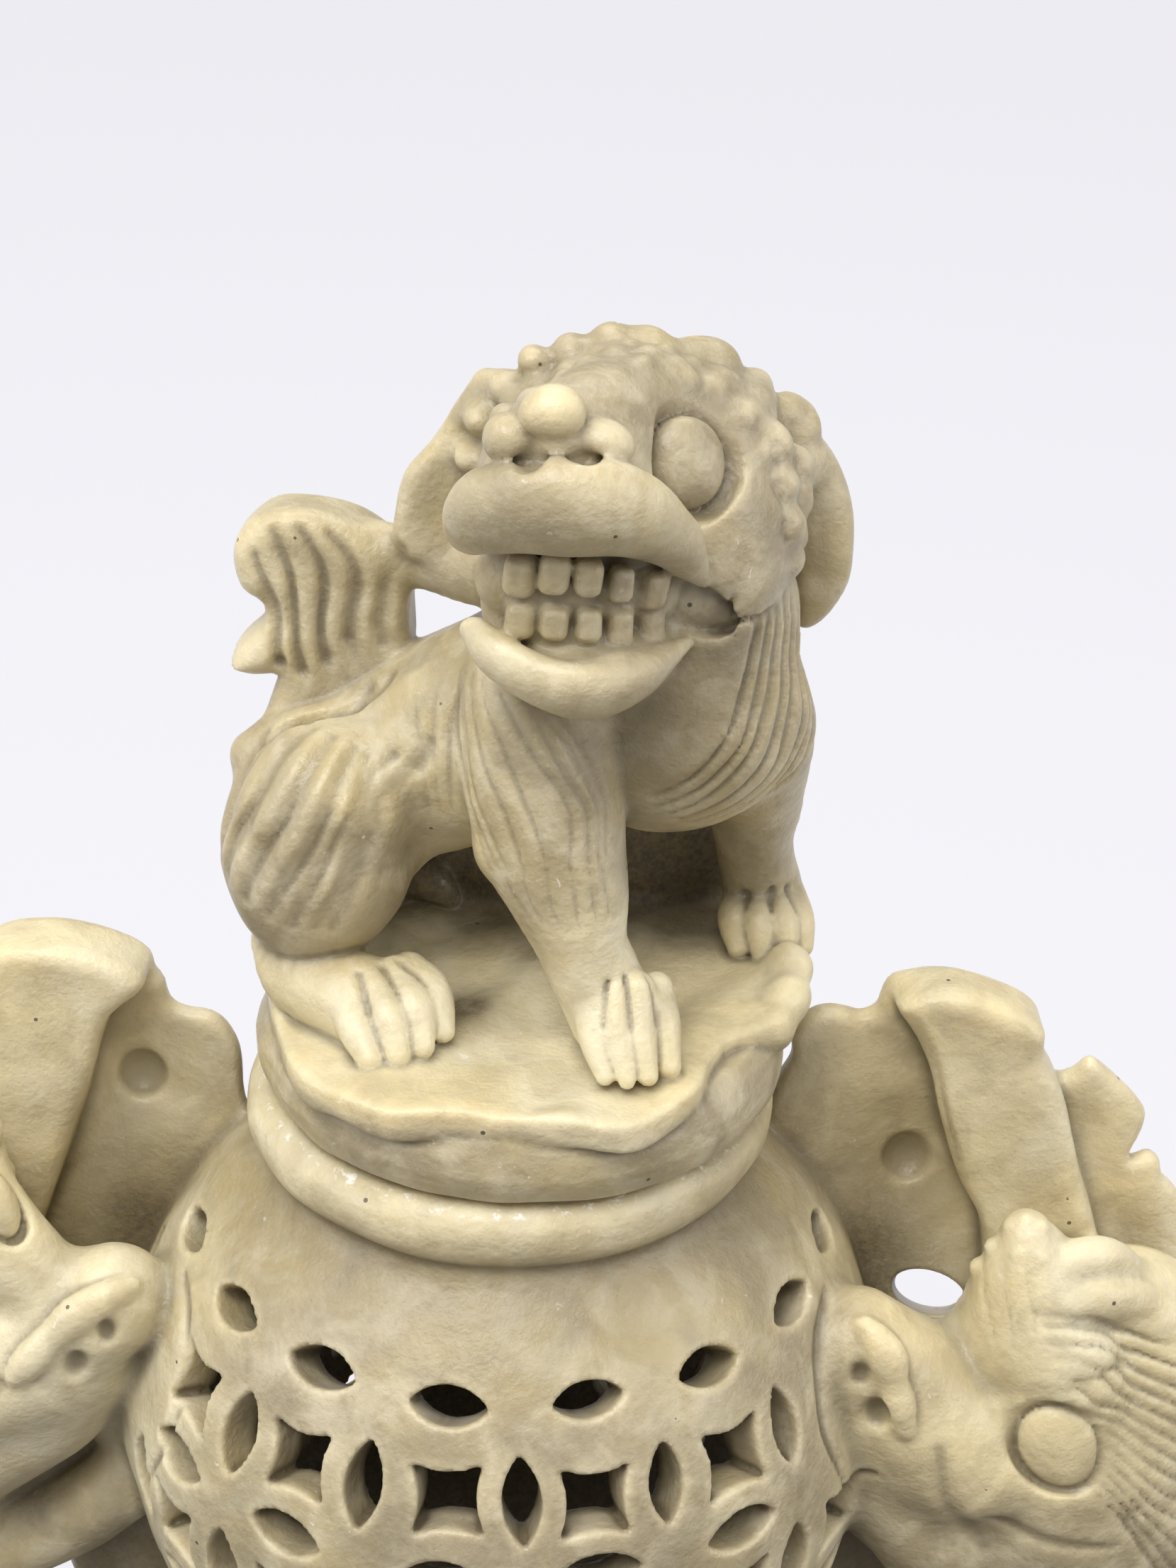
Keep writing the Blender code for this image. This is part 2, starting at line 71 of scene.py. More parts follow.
DRUM_LOW = 6.95       # underside of the drum, cut level above the seat
COLUMNS = 16          # openings round the globe
PATTERN_TURN = 2.9    # azimuth of the pattern, degrees
FAR = 12.0            # distance that stands for empty space
PAD = 5.0             # a solid's field is written this far beyond its box
BEND_ROOM = 8         # room for a bent leaf on each side of its middle


# ------------------------------------------------------------------ clay: fields of distance in mm
def smin(a, b, k):
    """Smooth minimum: the blend between two solids."""
    if k <= 0:
        return np.minimum(a, b)
    h = np.maximum(k - np.abs(a - b), 0) / k
    return np.minimum(a, b) - h * h * (k * 0.25)


def smax(a, b, k):
    return -smin(-a, -b, k)


def between(a, b, c, d, t):
    """Catmull-Rom: from b to c as t goes from 0 to 1."""
    return 0.5 * (2 * b + (c - a) * t + (2 * a - 5 * b + 4 * c - d) * t * t
                  + (3 * b - a - 3 * c + d) * t ** 3)


def curve(points, count):
    """A smooth curve through points of any width, resampled evenly by parameter."""
    p = np.array(points, float)
    if len(p) == 2:
        t = np.linspace(0, 1, count)[:, None]
        return p[0] * (1 - t) + p[1] * t
    p = np.vstack([2 * p[0] - p[1], p, 2 * p[-1] - p[-2]])
    out = []
    for u in np.linspace(0, len(p) - 3 - 1e-9, count):
        i = int(u)
        out.append(between(*p[i:i + 4], u - i))
    return np.array(out)


def turn_matrix(rot):
    """Turns about x, then y, then z, in degrees."""
    x, y, z = [math.radians(a) for a in rot]
    rx = np.array([[1, 0, 0], [0, math.cos(x), -math.sin(x)], [0, math.sin(x), math.cos(x)]])
    ry = np.array([[math.cos(y), 0, math.sin(y)], [0, 1, 0], [-math.sin(y), 0, math.cos(y)]])
    rz = np.array([[math.cos(z), -math.sin(z), 0], [math.sin(z), math.cos(z), 0], [0, 0, 1]])
    return rz @ ry @ rx


def ball(c, r, rot=(0, 0, 0)):
    """Ellipsoid."""
    c = np.array(c, float)
    r = np.array(r if np.ndim(r) else (r, r, r), float)
    m = turn_matrix(rot)

    def field(x, y, z):
        x, y, z = x - c[0], y - c[1], z - c[2]
        u = (x * m[0, 0] + y * m[1, 0] + z * m[2, 0]) / r[0]
        v = (x * m[0, 1] + y * m[1, 1] + z * m[2, 1]) / r[1]
        w = (x * m[0, 2] + y * m[1, 2] + z * m[2, 2]) / r[2]
        k0 = np.sqrt(u * u + v * v + w * w) + 1e-6
        k1 = np.sqrt((u / r[0]) ** 2 + (v / r[1]) ** 2 + (w / r[2]) ** 2) + 1e-6
        return k0 * (k0 - 1) / k1

    reach = np.sqrt(((m * r) ** 2).sum(1))
    return field, c - reach, c + reach


def block(c, half, rot=(0, 0, 0), soft=0.8):
    """Box with rounded edges."""
    c = np.array(c, float)
    half = np.array(half, float)
    m = turn_matrix(rot)

    def field(x, y, z):
        x, y, z = x - c[0], y - c[1], z - c[2]
        q = [np.abs(x * m[0, i] + y * m[1, i] + z * m[2, i]) - half[i] + soft for i in range(3)]
        out = np.sqrt(sum(np.maximum(a, 0) ** 2 for a in q))
        return out + np.minimum(np.maximum(np.maximum(q[0], q[1]), q[2]), 0) - soft

    reach = np.abs(m) @ half
    return field, c - reach, c + reach


def tube(points, radii=None, squash=None, per=1.5):
    """Round-ended tube along a smooth curve; points may carry their radius as a fourth number.
    squash is (axis, factor): the section is flattened by the factor along that axis."""
    p = np.array(points, float)
    if p.shape[1] == 3:
        p = np.column_stack([p, radii])
    length = np.linalg.norm(np.diff(p[:, :3], axis=0), axis=1).sum()
    p = curve(p, max(len(p), int(length / per) + 2))
    p[:, 3] = np.maximum(p[:, 3], 0.05)
    lo = (p[:, :3] - p[:, 3:]).min(0)
    hi = (p[:, :3] + p[:, 3:]).max(0)
    ax = None
    if squash:
        ax = np.array(squash[0], float)
        ax /= np.linalg.norm(ax)

    def field(x, y, z):
        best = None
        for a, b in zip(p[:-1], p[1:]):
            d = b[:3] - a[:3]
            n = max(d @ d, 1e-9)
            u, v, w = x - a[0], y - a[1], z - a[2]
            t = np.clip((u * d[0] + v * d[1] + w * d[2]) / n, 0, 1)
            u, v, w = u - t * d[0], v - t * d[1], w - t * d[2]
            if ax is None:
                q = u * u + v * v + w * w
            else:
                s = u * ax[0] + v * ax[1] + w * ax[2]
                q = u * u + v * v + w * w + s * s * (1 / squash[1] ** 2 - 1)
            q = np.sqrt(q) - (a[3] + t * (b[3] - a[3]))
            best = q if best is None else np.minimum(best, q)
        return best

    return field, lo, hi


def outline_distance(pts, u, v):
    """Signed distance in a plane to a closed outline."""
    pts = np.array(pts, float)
    d = np.full(np.broadcast(u, v).shape, 1e9)
    inside = np.zeros(d.shape, bool)
    for a, b in zip(pts, np.roll(pts, -1, 0)):
        e = b - a
        wu, wv = u - a[0], v - a[1]
        t = np.clip((wu * e[0] + wv * e[1]) / (e @ e), 0, 1)
        d = np.minimum(d, (wu - t * e[0]) ** 2 + (wv - t * e[1]) ** 2)
        c1 = v >= a[1]
        c2 = v < b[1]
        c3 = e[0] * wv > e[1] * wu
        inside ^= (c1 & c2 & c3) | (~c1 & ~c2 & ~c3)
    return np.sqrt(d) * np.where(inside, -1, 1)


def smooth_outline(pts, per=3):
    """A closed outline, rounded, with per points in place of each one."""
    p = np.array(list(pts) + [pts[0]], float)
    q = np.vstack([p[-2], p, p[1]])
    return np.array([between(*q[i:i + 4], k / per) for i in range(len(pts)) for k in range(per)])


def slab(outline, mid, half, soft=1.5, plane="xz", bend=None):
    """A carved leaf: an outline in the xz or xy plane with thickness, whose middle may bend."""
    pts = smooth_outline(outline)
    lo, hi = pts.min(0), pts.max(0)

    def field(x, y, z):
        u, v, w = (x, z, y) if plane == "xz" else (x, y, z)
        m = mid if bend is None else mid + bend(u, v)
        return smax(outline_distance(pts, u, v), np.abs(w - m) - half, soft * 2)

    reach = half + (0 if bend is None else BEND_ROOM)
    if plane == "xz":
        return field, (lo[0], mid - reach, lo[1]), (hi[0], mid + reach, hi[1])
    return field, (lo[0], lo[1], mid - reach), (hi[0], hi[1], mid + reach)


def turned(profile, x0=0.0, soft=0.8):
    """Round piece about an upright axis at x0: (height, radius) pairs from low to high."""
    zz = np.array([a for a, _ in profile], float)
    rr = np.array([b for _, b in profile], float)

    def field(x, y, z):
        rho = np.sqrt((x - x0) ** 2 + y ** 2)
        side = rho - np.interp(z, zz, rr)
        ends = np.abs(z - (zz[0] + zz[-1]) / 2) - (zz[-1] - zz[0]) / 2
        return smax(side, ends + 0 * rho, soft)

    r = rr.max()
    return field, (x0 - r, -r, zz[0]), (x0 + r, r, zz[-1])


class Clay:
    """A block of space that holds, at each grid point, the distance to the modelled skin."""

    def __init__(self, lo, hi, step):
        self.lo = np.array(lo, float)
        self.h = step
        n = np.ceil((np.array(hi, float) - self.lo) / step).astype(int) + 1
        self.d = np.full(n, FAR, np.float32)
        self.ax = [(self.lo[i] + step * np.arange(n[i])).astype(np.float32) for i in range(3)]

    def window(self, lo, hi, pad):
        n = np.array(self.d.shape)
        a = np.clip(np.floor((np.array(lo) - pad - self.lo) / self.h).astype(int), 0, n - 1)
        b = np.clip(np.ceil((np.array(hi) + pad - self.lo) / self.h).astype(int) + 1, 1, n)
        sl = tuple(slice(i, j) for i, j in zip(a, b))
        grid = (self.ax[0][sl[0]][:, None, None], self.ax[1][sl[1]][None, :, None],
                self.ax[2][sl[2]][None, None, :])
        return sl, grid

    def put(self, shape, k, merge):
        field, lo, hi = shape
        sl, g = self.window(lo, hi, max(PAD, k))
        if min(self.d[sl].shape) > 0:
            self.d[sl] = merge(self.d[sl], field(*g).astype(np.float32), k)
        return self

    def add(self, shape, k=0.0):
        return self.put(shape, k, smin)

    def cut(self, shape, k=0.0):
        return self.put(shape, k, lambda clay, solid, blend: smax(clay, -solid, blend))

    def sample(self, p, d=None):
        """The distance at any points, between the grid's."""
        d = self.d if d is None else d
        q = (np.atleast_2d(p) - self.lo) / self.h
        q = np.clip(q, 0, np.array(d.shape) - 1.001)
        i = q.astype(int)
        f = q - i
        out = 0
        for a in (0, 1):
            for b in (0, 1):
                for c in (0, 1):
                    w = ((f[:, 0] if a else 1 - f[:, 0]) * (f[:, 1] if b else 1 - f[:, 1])
                         * (f[:, 2] if c else 1 - f[:, 2]))
                    out = out + w * d[i[:, 0] + a, i[:, 1] + b, i[:, 2] + c]
        return out

    def slope(self, p):
        """The outward direction at any points."""
        e = self.h
        g = np.stack([self.sample(p + np.eye(3)[i] * e) - self.sample(p - np.eye(3)[i] * e)
                      for i in range(3)], 1)
        return g / np.maximum(np.linalg.norm(g, axis=1, keepdims=True), 1e-6)

    def onto(self, p, rounds=8):
        """Moves points to the nearest skin."""
        p = np.array(p, float)
        for _ in range(rounds):
            p = p - self.slope(p) * np.clip(self.sample(p), -1.5, 1.5)[:, None]
        return p

    def touch(self, p):
        """The skin's point nearest to one point, and the outward direction there."""
        q = self.onto([p])[0]
        return q, self.slope([q])[0]

    def stroke(self, points, width=1.2, depth=0.6, k=0.5):
        """A carved groove that follows the skin and fades at both ends."""
        length = np.linalg.norm(np.diff(np.array(points, float), axis=0), axis=1).sum()
        n = max(6, int(length / 1.3))
        p = self.onto(curve(points, n))
        nrm = self.slope(p)
        t = np.linspace(0, 1, len(p))
        taper = 0.35 + (1 - 0.35) * np.sin(np.pi * np.clip(t, 0.02, 0.98)) ** 0.6
        r = width / 2 * taper
        mid = p + nrm * (r - depth * taper)[:, None]
        return self.cut(tube(np.column_stack([mid, r]), per=1.3), k)

    def strokes(self, first, last, count, jitter=0.0, **how):
        """A family of grooves between two curves."""
        n = max(len(first), len(last))
        a, b = curve(first, n), curve(last, n)
        for i in range(count):
            t = i / max(count - 1, 1)
            p = a * (1 - t) + b * t
            if jitter:
                p = p + rng.normal(0, jitter, p.shape) * [1, 0.3, 1]
            self.stroke(p, **how)

    def unevenness(self, amount, waves, seed):
        """Slow irregularities of hand carving: a few crossing waves in random directions."""
        r = np.random.default_rng(seed)
        for length, share in waves:
            for _ in range(4):
                k = r.normal(0, 1, 3)
                k *= 2 * math.pi / length / np.linalg.norm(k)
                start = (r.uniform(0, 6.28), 0, 0)
                px, py, pz = [np.exp(1j * (k[i] * self.ax[i] + start[i])).astype(np.complex64)
                              for i in range(3)]
                xy = px[:, None] * py[None, :]
                for i in range(len(px)):
                    self.d[i] += np.float32(amount * share) * (xy[i][:, None] * pz[None, :]).real

    def soften(self, mm, d=None):
        """Box blur of the clipped field."""
        d = self.d if d is None else d
        r = max(1, int(round(mm / self.h)))
        for axis in range(3):
            d = np.moveaxis(d, axis, 0)
            c = np.cumsum(np.concatenate([np.repeat(d[:1], r + 1, 0), d, np.repeat(d[-1:], r, 0)]), 0,
                          dtype=np.float32)
            d = (c[2 * r + 1:] - c[:-2 * r - 1]) / (2 * r + 1)
            d = np.moveaxis(d, 0, axis)
        return d


def skin(clay, name, shading_and_residue=None):
    """Surface nets over the clay's zero level, with a colour attribute. Its channels are crease (for the
    painted shade and dirt in creases, and the wear on ridges), paleness (painted light: a painted glow
    where the stone is thin, and painted light where the shading function asks for it), depth of hollows
    (for painted shade), and shade (painted shade, with the white residue and the dark dust)."""
    d = clay.d
    s = d < 0
    n = [k - 1 for k in d.shape]
    corners = [(a, b, c) for a in (0, 1) for b in (0, 1) for c in (0, 1)]
    cut = [s[a:n[0] + a, b:n[1] + b, c:n[2] + c] for a, b, c in corners]
    total = sum(c.astype(np.uint8) for c in cut)
    mixed = (total > 0) & (total < 8)
    cells = np.argwhere(mixed)
    index = np.full(mixed.shape, -1, np.int32)
    index[mixed] = np.arange(len(cells), dtype=np.int32)
    value = {c: d[cells[:, 0] + c[0], cells[:, 1] + c[1], cells[:, 2] + c[2]] for c in corners}
    pos = np.zeros((len(cells), 3))
    hits = np.zeros(len(cells))
    for a in corners:
        for axis in range(3):
            if a[axis]:
                continue
            b = tuple(1 if i == axis else a[i] for i in range(3))
            va, vb = value[a], value[b]
            cross = (va < 0) != (vb < 0)
            t = np.where(cross, va / np.where(cross, va - vb, 1), 0)
            step = np.zeros((len(cells), 3)) + a
            step[:, axis] += t
            pos += step * cross[:, None]
            hits += cross
    pos = clay.lo + clay.h * (cells + pos / hits[:, None])
    for _ in range(2):
        g = clay.slope(pos)
        move = np.clip(clay.sample(pos), -clay.h * 0.4, clay.h * 0.4)
        pos -= g * (move * 0.7)[:, None]
    quads = []
    for axis in range(3):
        u, v = [(1, 2), (2, 0), (0, 1)][axis]
        lo = [slice(1, -1)] * 3
        hi = [slice(1, -1)] * 3
        lo[axis] = slice(0, -1)
        hi[axis] = slice(1, None)
        a, b = s[tuple(lo)], s[tuple(hi)]
        at = np.argwhere(a != b)
        flip = b[a != b]
        base = at.copy()
        for i in range(3):
            if i != axis:
                base[:, i] += 1
        ring = []
        for du, dv in ((-1, -1), (0, -1), (0, 0), (-1, 0)):
            q = base.copy()
            q[:, u] += du
            q[:, v] += dv
            ring.append(index[q[:, 0], q[:, 1], q[:, 2]])
        ring = np.stack(ring, 1)
        ring[flip] = ring[flip][:, ::-1]
        quads.append(ring)
    quads = np.concatenate(quads)
    quads = quads[(quads >= 0).all(1)]
    near = clay.soften(1.0, np.clip(d, -2, 2))
    crease = np.clip(0.5 - clay.sample(pos, near) * 1.3, 0, 1)
    wide = clay.soften(3.2, clay.soften(2.4, np.clip(d, -7, 7)))
    thin = np.clip(clay.sample(pos, wide) / 3.4, 0, 1)
    deep = np.clip(-clay.sample(pos, wide) / 2.6, 0, 1)
    mesh = bpy.data.meshes.new(name)
    mesh.vertices.add(len(pos))
    world = pos * MM + np.array(AXIS)
    world[:, 2] = np.maximum(world[:, 2], 0)
    mesh.vertices.foreach_set("co", world.astype(np.float32).ravel())
    mesh.loops.add(quads.size)
    mesh.loops.foreach_set("vertex_index", quads.astype(np.int32).ravel())
    mesh.polygons.add(len(quads))
    mesh.polygons.foreach_set("loop_start", np.arange(0, quads.size, 4, dtype=np.int32))
    mesh.polygons.foreach_set("use_smooth", np.ones(len(quads), bool))
    mesh.update(calc_edges=True)
    mesh.validate()
    # shade under 0.5 is painted shade and paleness is painted light; shade over 0.5 is white residue
    shade, painted_light = (0.0, 0.0) if shading_and_residue is None else shading_and_residue(pos)
    col = np.column_stack([crease, np.clip(thin + painted_light, 0, 1), deep, 0 * deep + shade])
    attr = mesh.color_attributes.new("carve", "FLOAT_COLOR", "POINT")
    attr.data.foreach_set("color", col.astype(np.float32).ravel())
    obj = bpy.data.objects.new(name, mesh)
    scene.collection.objects.link(obj)
    print("skin", name, len(pos), "points", flush=True)
    return obj


# ------------------------------------------------------------------ the lid and its guardian lion
STEP = 0.4
lid = Clay((-37, -34, 5.5), (39, 35, 97), STEP)

DRUM = [(7.1, 27.9), (7.8, 28.8), (9.2, 29.5), (11, 29.9), (13, 29.6), (14.8, 28.8), (16.2, 27.4)]
lid.add(turned(DRUM, DRUM_X, 0.6))
PLATE = [(-28, 5), (-26.6, -6), (-24.9, -14), (-22.3, -20.5), (-17.4, -25.6), (-12.8, -27.6),
         (-5.8, -28), (0.4, -28.4), (6.1, -29.2), (11.8, -28.8), (16.3, -26), (19.7, -21.6),
         (23, -13), (27.8, -9.6), (31.2, -5.6), (32.2, 2), (32, 12), (28, 20.5), (18, 27), (6, 30),
         (-6, 29), (-17, 24.5), (-25, 15)]


def rock_swell(x, y):
    return (0.5 * np.sin(x * 0.21 + 1) * np.cos(y * 0.17) + 0.25 * np.sin(x * 0.5 - y * 0.4)
            + 0.9 * np.exp(-((x - 27) ** 2 + (y + 1) ** 2) / 60))


lid.add(slab(PLATE, 16.4, 1.9, 0.5, "xy", rock_swell), 0.5)
for c, r in (((30.4, -3.4, 18), 2.8), ((28.8, -7, 16.6), 2.2), ((31, 1.2, 19.4), 2.6)):
    lid.add(ball(c, r), 1.6)

# body
lid.add(tube([(-20, 5, 37, 9.5), (-14, 5, 42, 11), (-5, 2, 47, 11.8), (4, 1, 52, 12.5),
              (10, 0, 60, 12.6)]), 2)
lid.add(ball((-20.5, 3, 36.5), (11.4, 12.5, 10.6)), 2)
lid.add(ball((16, -0.6, 52.6), (14.4, 12.8, 14)), 3)
lid.add(ball((14, -1, 64), (14.5, 12, 11)), 4)
# right thigh with its locks, left thigh
lid.add(ball((-21.6, -3.4, 35), (10.4, 10.4, 12.4)), 1.2)
lid.add(ball((-20, -1.5, 41), (10.6, 11.4, 9.6), (0, -24, 0)), 1.5)
lid.add(tube([(-26, 3, 44.5, 3.2), (-29, 2, 43.8, 2.4)]), 2)
lid.add(ball((-18.5, 12, 35.5), (10, 9, 12)), 1.5)
# forelegs
lid.add(tube([(2, -7, 56, 8.6), (2.2, -9.2, 49, 8.6), (3.6, -11.4, 42, 7.7), (5.2, -13, 37, 6.5),
              (6.8, -14, 31, 5), (8.9, -14.2, 26.4, 4.7), (10.6, -15.2, 22.4, 4.5)]), 1.2)
lid.add(ball((-1.4, -12.6, 41.6), (2.8, 2.8, 3.6), (0, 25, 0)), 1.5)
lid.add(tube([(24, 2, 49, 7.8), (26.2, 6.4, 40, 5.8), (26.9, 9.6, 31, 4.5), (28, 11.2, 25, 4.6),
              (28.8, 9.8, 21.6, 4.8)]), 1.5)
# the stone left standing under the belly
lid.add(ball((5, 21.5, 28), (25, 7.5, 19)), 3)
lid.add(ball((-2, 17, 38), (17, 8, 9)), 3)
# hind feet
lid.add(tube([(-25.8, -2.6, 23.2, 3.4), (-22.6, -7, 21.6, 4.6), (-17, -11.2, 21.2, 5.2),
              (-13.6, -12.6, 20.8, 5)]), 0.8)
lid.add(tube([(-21, 14, 22.4, 4.2), (-14, 18.4, 21.2, 4.8)]), 1)


def paw(toes, start=2.3, mid=2.25, tip=1.35):
    """Blunt toes, with cuts between them that run up over the knuckles."""
    for a, b, c in toes:
        lid.add(tube([(*a, start), (*b, mid), (*c, tip)], per=1), 0.45)
    for (a, b, _), (d, e, _) in zip(toes, toes[1:]):
        back, front = (np.array(a) + d) / 2, (np.array(b) + e) / 2
        lid.stroke([back * 1.2 - front * 0.2 + [0, -1.5, 1.5], back + [0, -1.2, 1.8],
                    front + [0, -0.6, 1.4]], 1.1, 0.5, 0.5)


lid.add(ball((11.6, -15.8, 24.4), (4.9, 3.8, 3.2), (-25, 0, 0)), 1.5)
paw([((8.6, -16.8, 26), (8.8, -19.6, 22.8), (9.8, -22.8, 19.8)),
     ((10.6, -17.4, 27), (11, -20.4, 23.2), (12, -23.4, 19.7)),
     ((12.8, -17, 27), (13.2, -20, 23), (14.1, -22.6, 19.9)),
     ((15, -14.8, 25.8), (15.7, -17.6, 22.8), (16.4, -20.4, 19.9))], 1.9, 2, 1.3)
paw([((-17.6, -12.6, 22.4), (-16.4, -16.8, 21.4), (-14.9, -20, 19.4)),
     ((-15, -11.8, 23.6), (-13.4, -16.2, 22.4), (-12, -19.4, 19.6)),
     ((-12.8, -10.8, 24), (-10.8, -14.6, 22.8), (-9.4, -18, 19.8)),
     ((-11.4, -9.4, 23.6), (-8.9, -12.4, 22.8), (-7.3, -15.6, 20.2))])
paw([((25.6, 9.6, 23.6), (25.1, 6.8, 22.4), (25.5, 4.6, 19.9)),
     ((27.6, 9.2, 24.4), (27.7, 5.8, 22.8), (28.2, 3.4, 19.7)),
     ((29.8, 9.2, 24.4), (30.3, 5.8, 22.8), (30.9, 3.6, 19.7)),
     ((31.4, 9.8, 23.4), (32.5, 7.2, 22), (33, 5.2, 19.9))], 2, 2, 1.3)
paw([((-13.4, 15.6, 22.6), (-10, 14.6, 21.6), (-7.8, 14.4, 19.6)),
     ((-13, 17.8, 23.2), (-9.2, 17.6, 22), (-6.8, 17.6, 19.6)),
     ((-13.4, 20, 22.6), (-10, 20.8, 21.6), (-7.6, 21, 19.6))])

# tail plume and the web of stone that ties it to the ear
TAIL = [(-30.2, 62), (-30.9, 65.6), (-29.6, 68.8), (-26.6, 70.9), (-22.2, 70.9), (-18.3, 69.6),
        (-15, 67.9), (-12.3, 66), (-12.2, 60), (-12.2, 54), (-14.6, 49.6), (-19, 45.5), (-26, 42.8),
        (-28.4, 44.6), (-27, 49), (-26.3, 52.2), (-29.2, 52.1), (-31.6, 52.6), (-30.6, 55.2),
        (-28, 57.8), (-27.9, 60.2)]
lid.add(slab(TAIL, 7.4, 5, 1.7, "xz"), 1)
lid.add(tube([(-15.5, 6.2, 66.2, 3), (-10, 4.4, 65.6, 3.3), (-4, 1, 66.4, 4)],
             squash=((0, 1, 0), 0.8)), 1.4)
EAR_R = [(-5.2, 87.6), (-7.2, 84.6), (-8.6, 82), (-11, 78.8), (-13, 76), (-13.8, 72), (-13.9, 67.5),
         (-8.4, 66), (-5, 70), (-3, 78), (-2, 86)]
lid.add(slab(EAR_R, 2.6, 1.9, 1, "xz"), 1)

# skull, muzzle, cheeks
lid.add(ball((11, -0.4, 76.2), (16.4, 14.2, 14.9)), 2)
lid.add(ball((4.2, -11.5, 80), (9.6, 11, 9.6)), 3)
lid.add(ball((18, -6, 72), (8.6, 8.4, 11)), 3)
lid.add(ball((6, -9.5, 68), (10.6, 9.6, 9)), 2)
lid.add(tube([(2.4, -19, 86.6, 4), (5.6, -12.5, 86.8, 5.4), (10, -6, 86.2, 6)]), 3)
# mouth cavity, then the lips
lid.cut(tube([(-6.5, -20, 72.4, 4.4), (-1, -22, 72.6, 5.6), (5, -22.4, 72.4, 6),
              (10.5, -20.4, 71, 5.2), (15.5, -16, 69.2, 3.6), (20.2, -11.2, 66.8, 1.5)]), 0.7)
lid.add(tube([(-1.6, -13.9, 71.6, 3.5), (3.4, -15.1, 71.8, 4.2), (9.4, -13.1, 70.8, 4),
              (13.6, -10, 69.6, 3.4), (17, -9.9, 68.6, 3.1), (19.8, -9.2, 66.8, 2.2)]), 1)
lid.add(tube([(-5.2, -17.4, 77.8, 2.8), (-2.9, -20.9, 80.9, 4.5), (2.2, -23.2, 82.5, 5),
              (8.4, -21.9, 81.7, 4.8), (12.8, -18.2, 78, 3.4), (15.3, -16.2, 74.8, 1.9),
              (17.2, -14.8, 72, 0.4)], squash=((0.1, 1, 0.3), 0.72), per=0.7), 0.8)
lid.add(tube([(-4.8, -17.6, 67.4, 1.4), (-1.6, -20.2, 65.2, 2.6), (4.6, -21.8, 63.2, 3.2),
              (10.4, -19.4, 63.8, 2.6), (16, -14.4, 65.4, 0.8)], squash=((0.1, 1, 0.4), 0.62),
             per=0.7), 0.8)
lid.add(ball((5.6, -13, 62.6), (8.6, 8.6, 4.6), (-14, 0, 0)), 2)
lid.cut(tube([(-3.4, -18.2, 70.2, 0.8), (4.6, -20.6, 68, 1.5), (11, -18.2, 68.2, 1.2),
              (15.4, -14.2, 67, 0.7)]), 0.8)
UPPER = [(-0.6, -19, 74, -14), (2.7, -19.8, 74.5, -4), (5.9, -19.6, 74.2, 8), (9, -18.3, 73.2, 22),
         (12.2, -15.8, 71.7, 36)]
LOWER = [(-0.4, -18.2, 69, -14), (2.9, -19, 69.1, -4), (6.1, -18.6, 68.9, 8), (9.1, -17.3, 68.3, 22),
         (12.2, -15, 67.4, 36)]
for x, y, z, a in UPPER:
    lid.add(block((x, y, z), (1.42, 1.5, 2.05), (8, 4, a), 1), 0.8)
for x, y, z, a in LOWER:
    lid.add(block((x, y, z), (1.38, 1.4, 1.8), (-8, 4, a), 1), 0.8)

# nose
lid.add(ball((2, -21.2, 90.8), (3.2, 2.9, 2.7), (0, -10, 0)), 1)
lid.add(ball((-1.9, -20.6, 87.8), (2.35, 2.6, 2.4), (0, -20, 0)), 0.7)
lid.add(ball((6.9, -20.2, 87.8), (3.1, 2.6, 2.1), (0, 18, 0)), 0.7)
lid.add(ball((2.4, -20.8, 87.4), (2.4, 2.2, 2)), 1)
lid.cut(ball((0, -23.8, 86.9), (1, 1.2, 0.8)), 1.2)
lid.cut(ball((4.9, -23.4, 86.8), (1.4, 1.2, 0.8)), 1.2)
lid.stroke([(-5, -20, 85.4), (2, -23, 85.8), (9, -21, 85.2), (12, -18, 83.6)], 1, 0.4, 0.5)


def eyeball(clay, at, radii, lean=0, socket=1.34, proud=1.6):
    """A lidless oval eye: a shallow socket with a dome set in it."""
    at, look = clay.touch(at)
    rot = (-math.degrees(math.asin(look[2])) * 0.6, lean, math.degrees(math.atan2(look[0], -look[1])))
    a, b = radii
    clay.cut(ball(at + look * 0.2, (a * socket, proud + 0.9, b * socket), rot), 0.8)
    clay.add(ball(at - look * 1.1, (a, proud + 0.7, b), rot), 0.1)
    return at


# eyes
EYE = eyeball(lid, (16.5, -13.8, 84.4), (4.2, 4.6))
eyeball(lid, (-6.6, -6.4, 84.4), (2.6, 3.6), proud=1)
for a in (-28, -8, 16):
    t = math.radians(a)
    up = Vector((math.sin(t), 0.1, math.cos(t)))
    p = Vector(EYE) + Vector((0, -2, 0)) + up * 1.0
    lid.stroke([tuple(p), tuple(p + up * 2.2)], 0.45, 0.16, 0.1)

# left ear, hanging beside the cheek
EAR_L = [(26, 85), (29.4, 81.4), (31.6, 78.2), (33.4, 74.5), (34.2, 70.4), (34, 66), (32.4, 62),
         (30.2, 59.8), (28.4, 60.6), (28, 65), (27.2, 71), (25.6, 78)]
lid.add(slab(EAR_L, 4, 2.7, 1.4, "xz", lambda u, v: -0.02 * (u - 27) ** 2), 1)

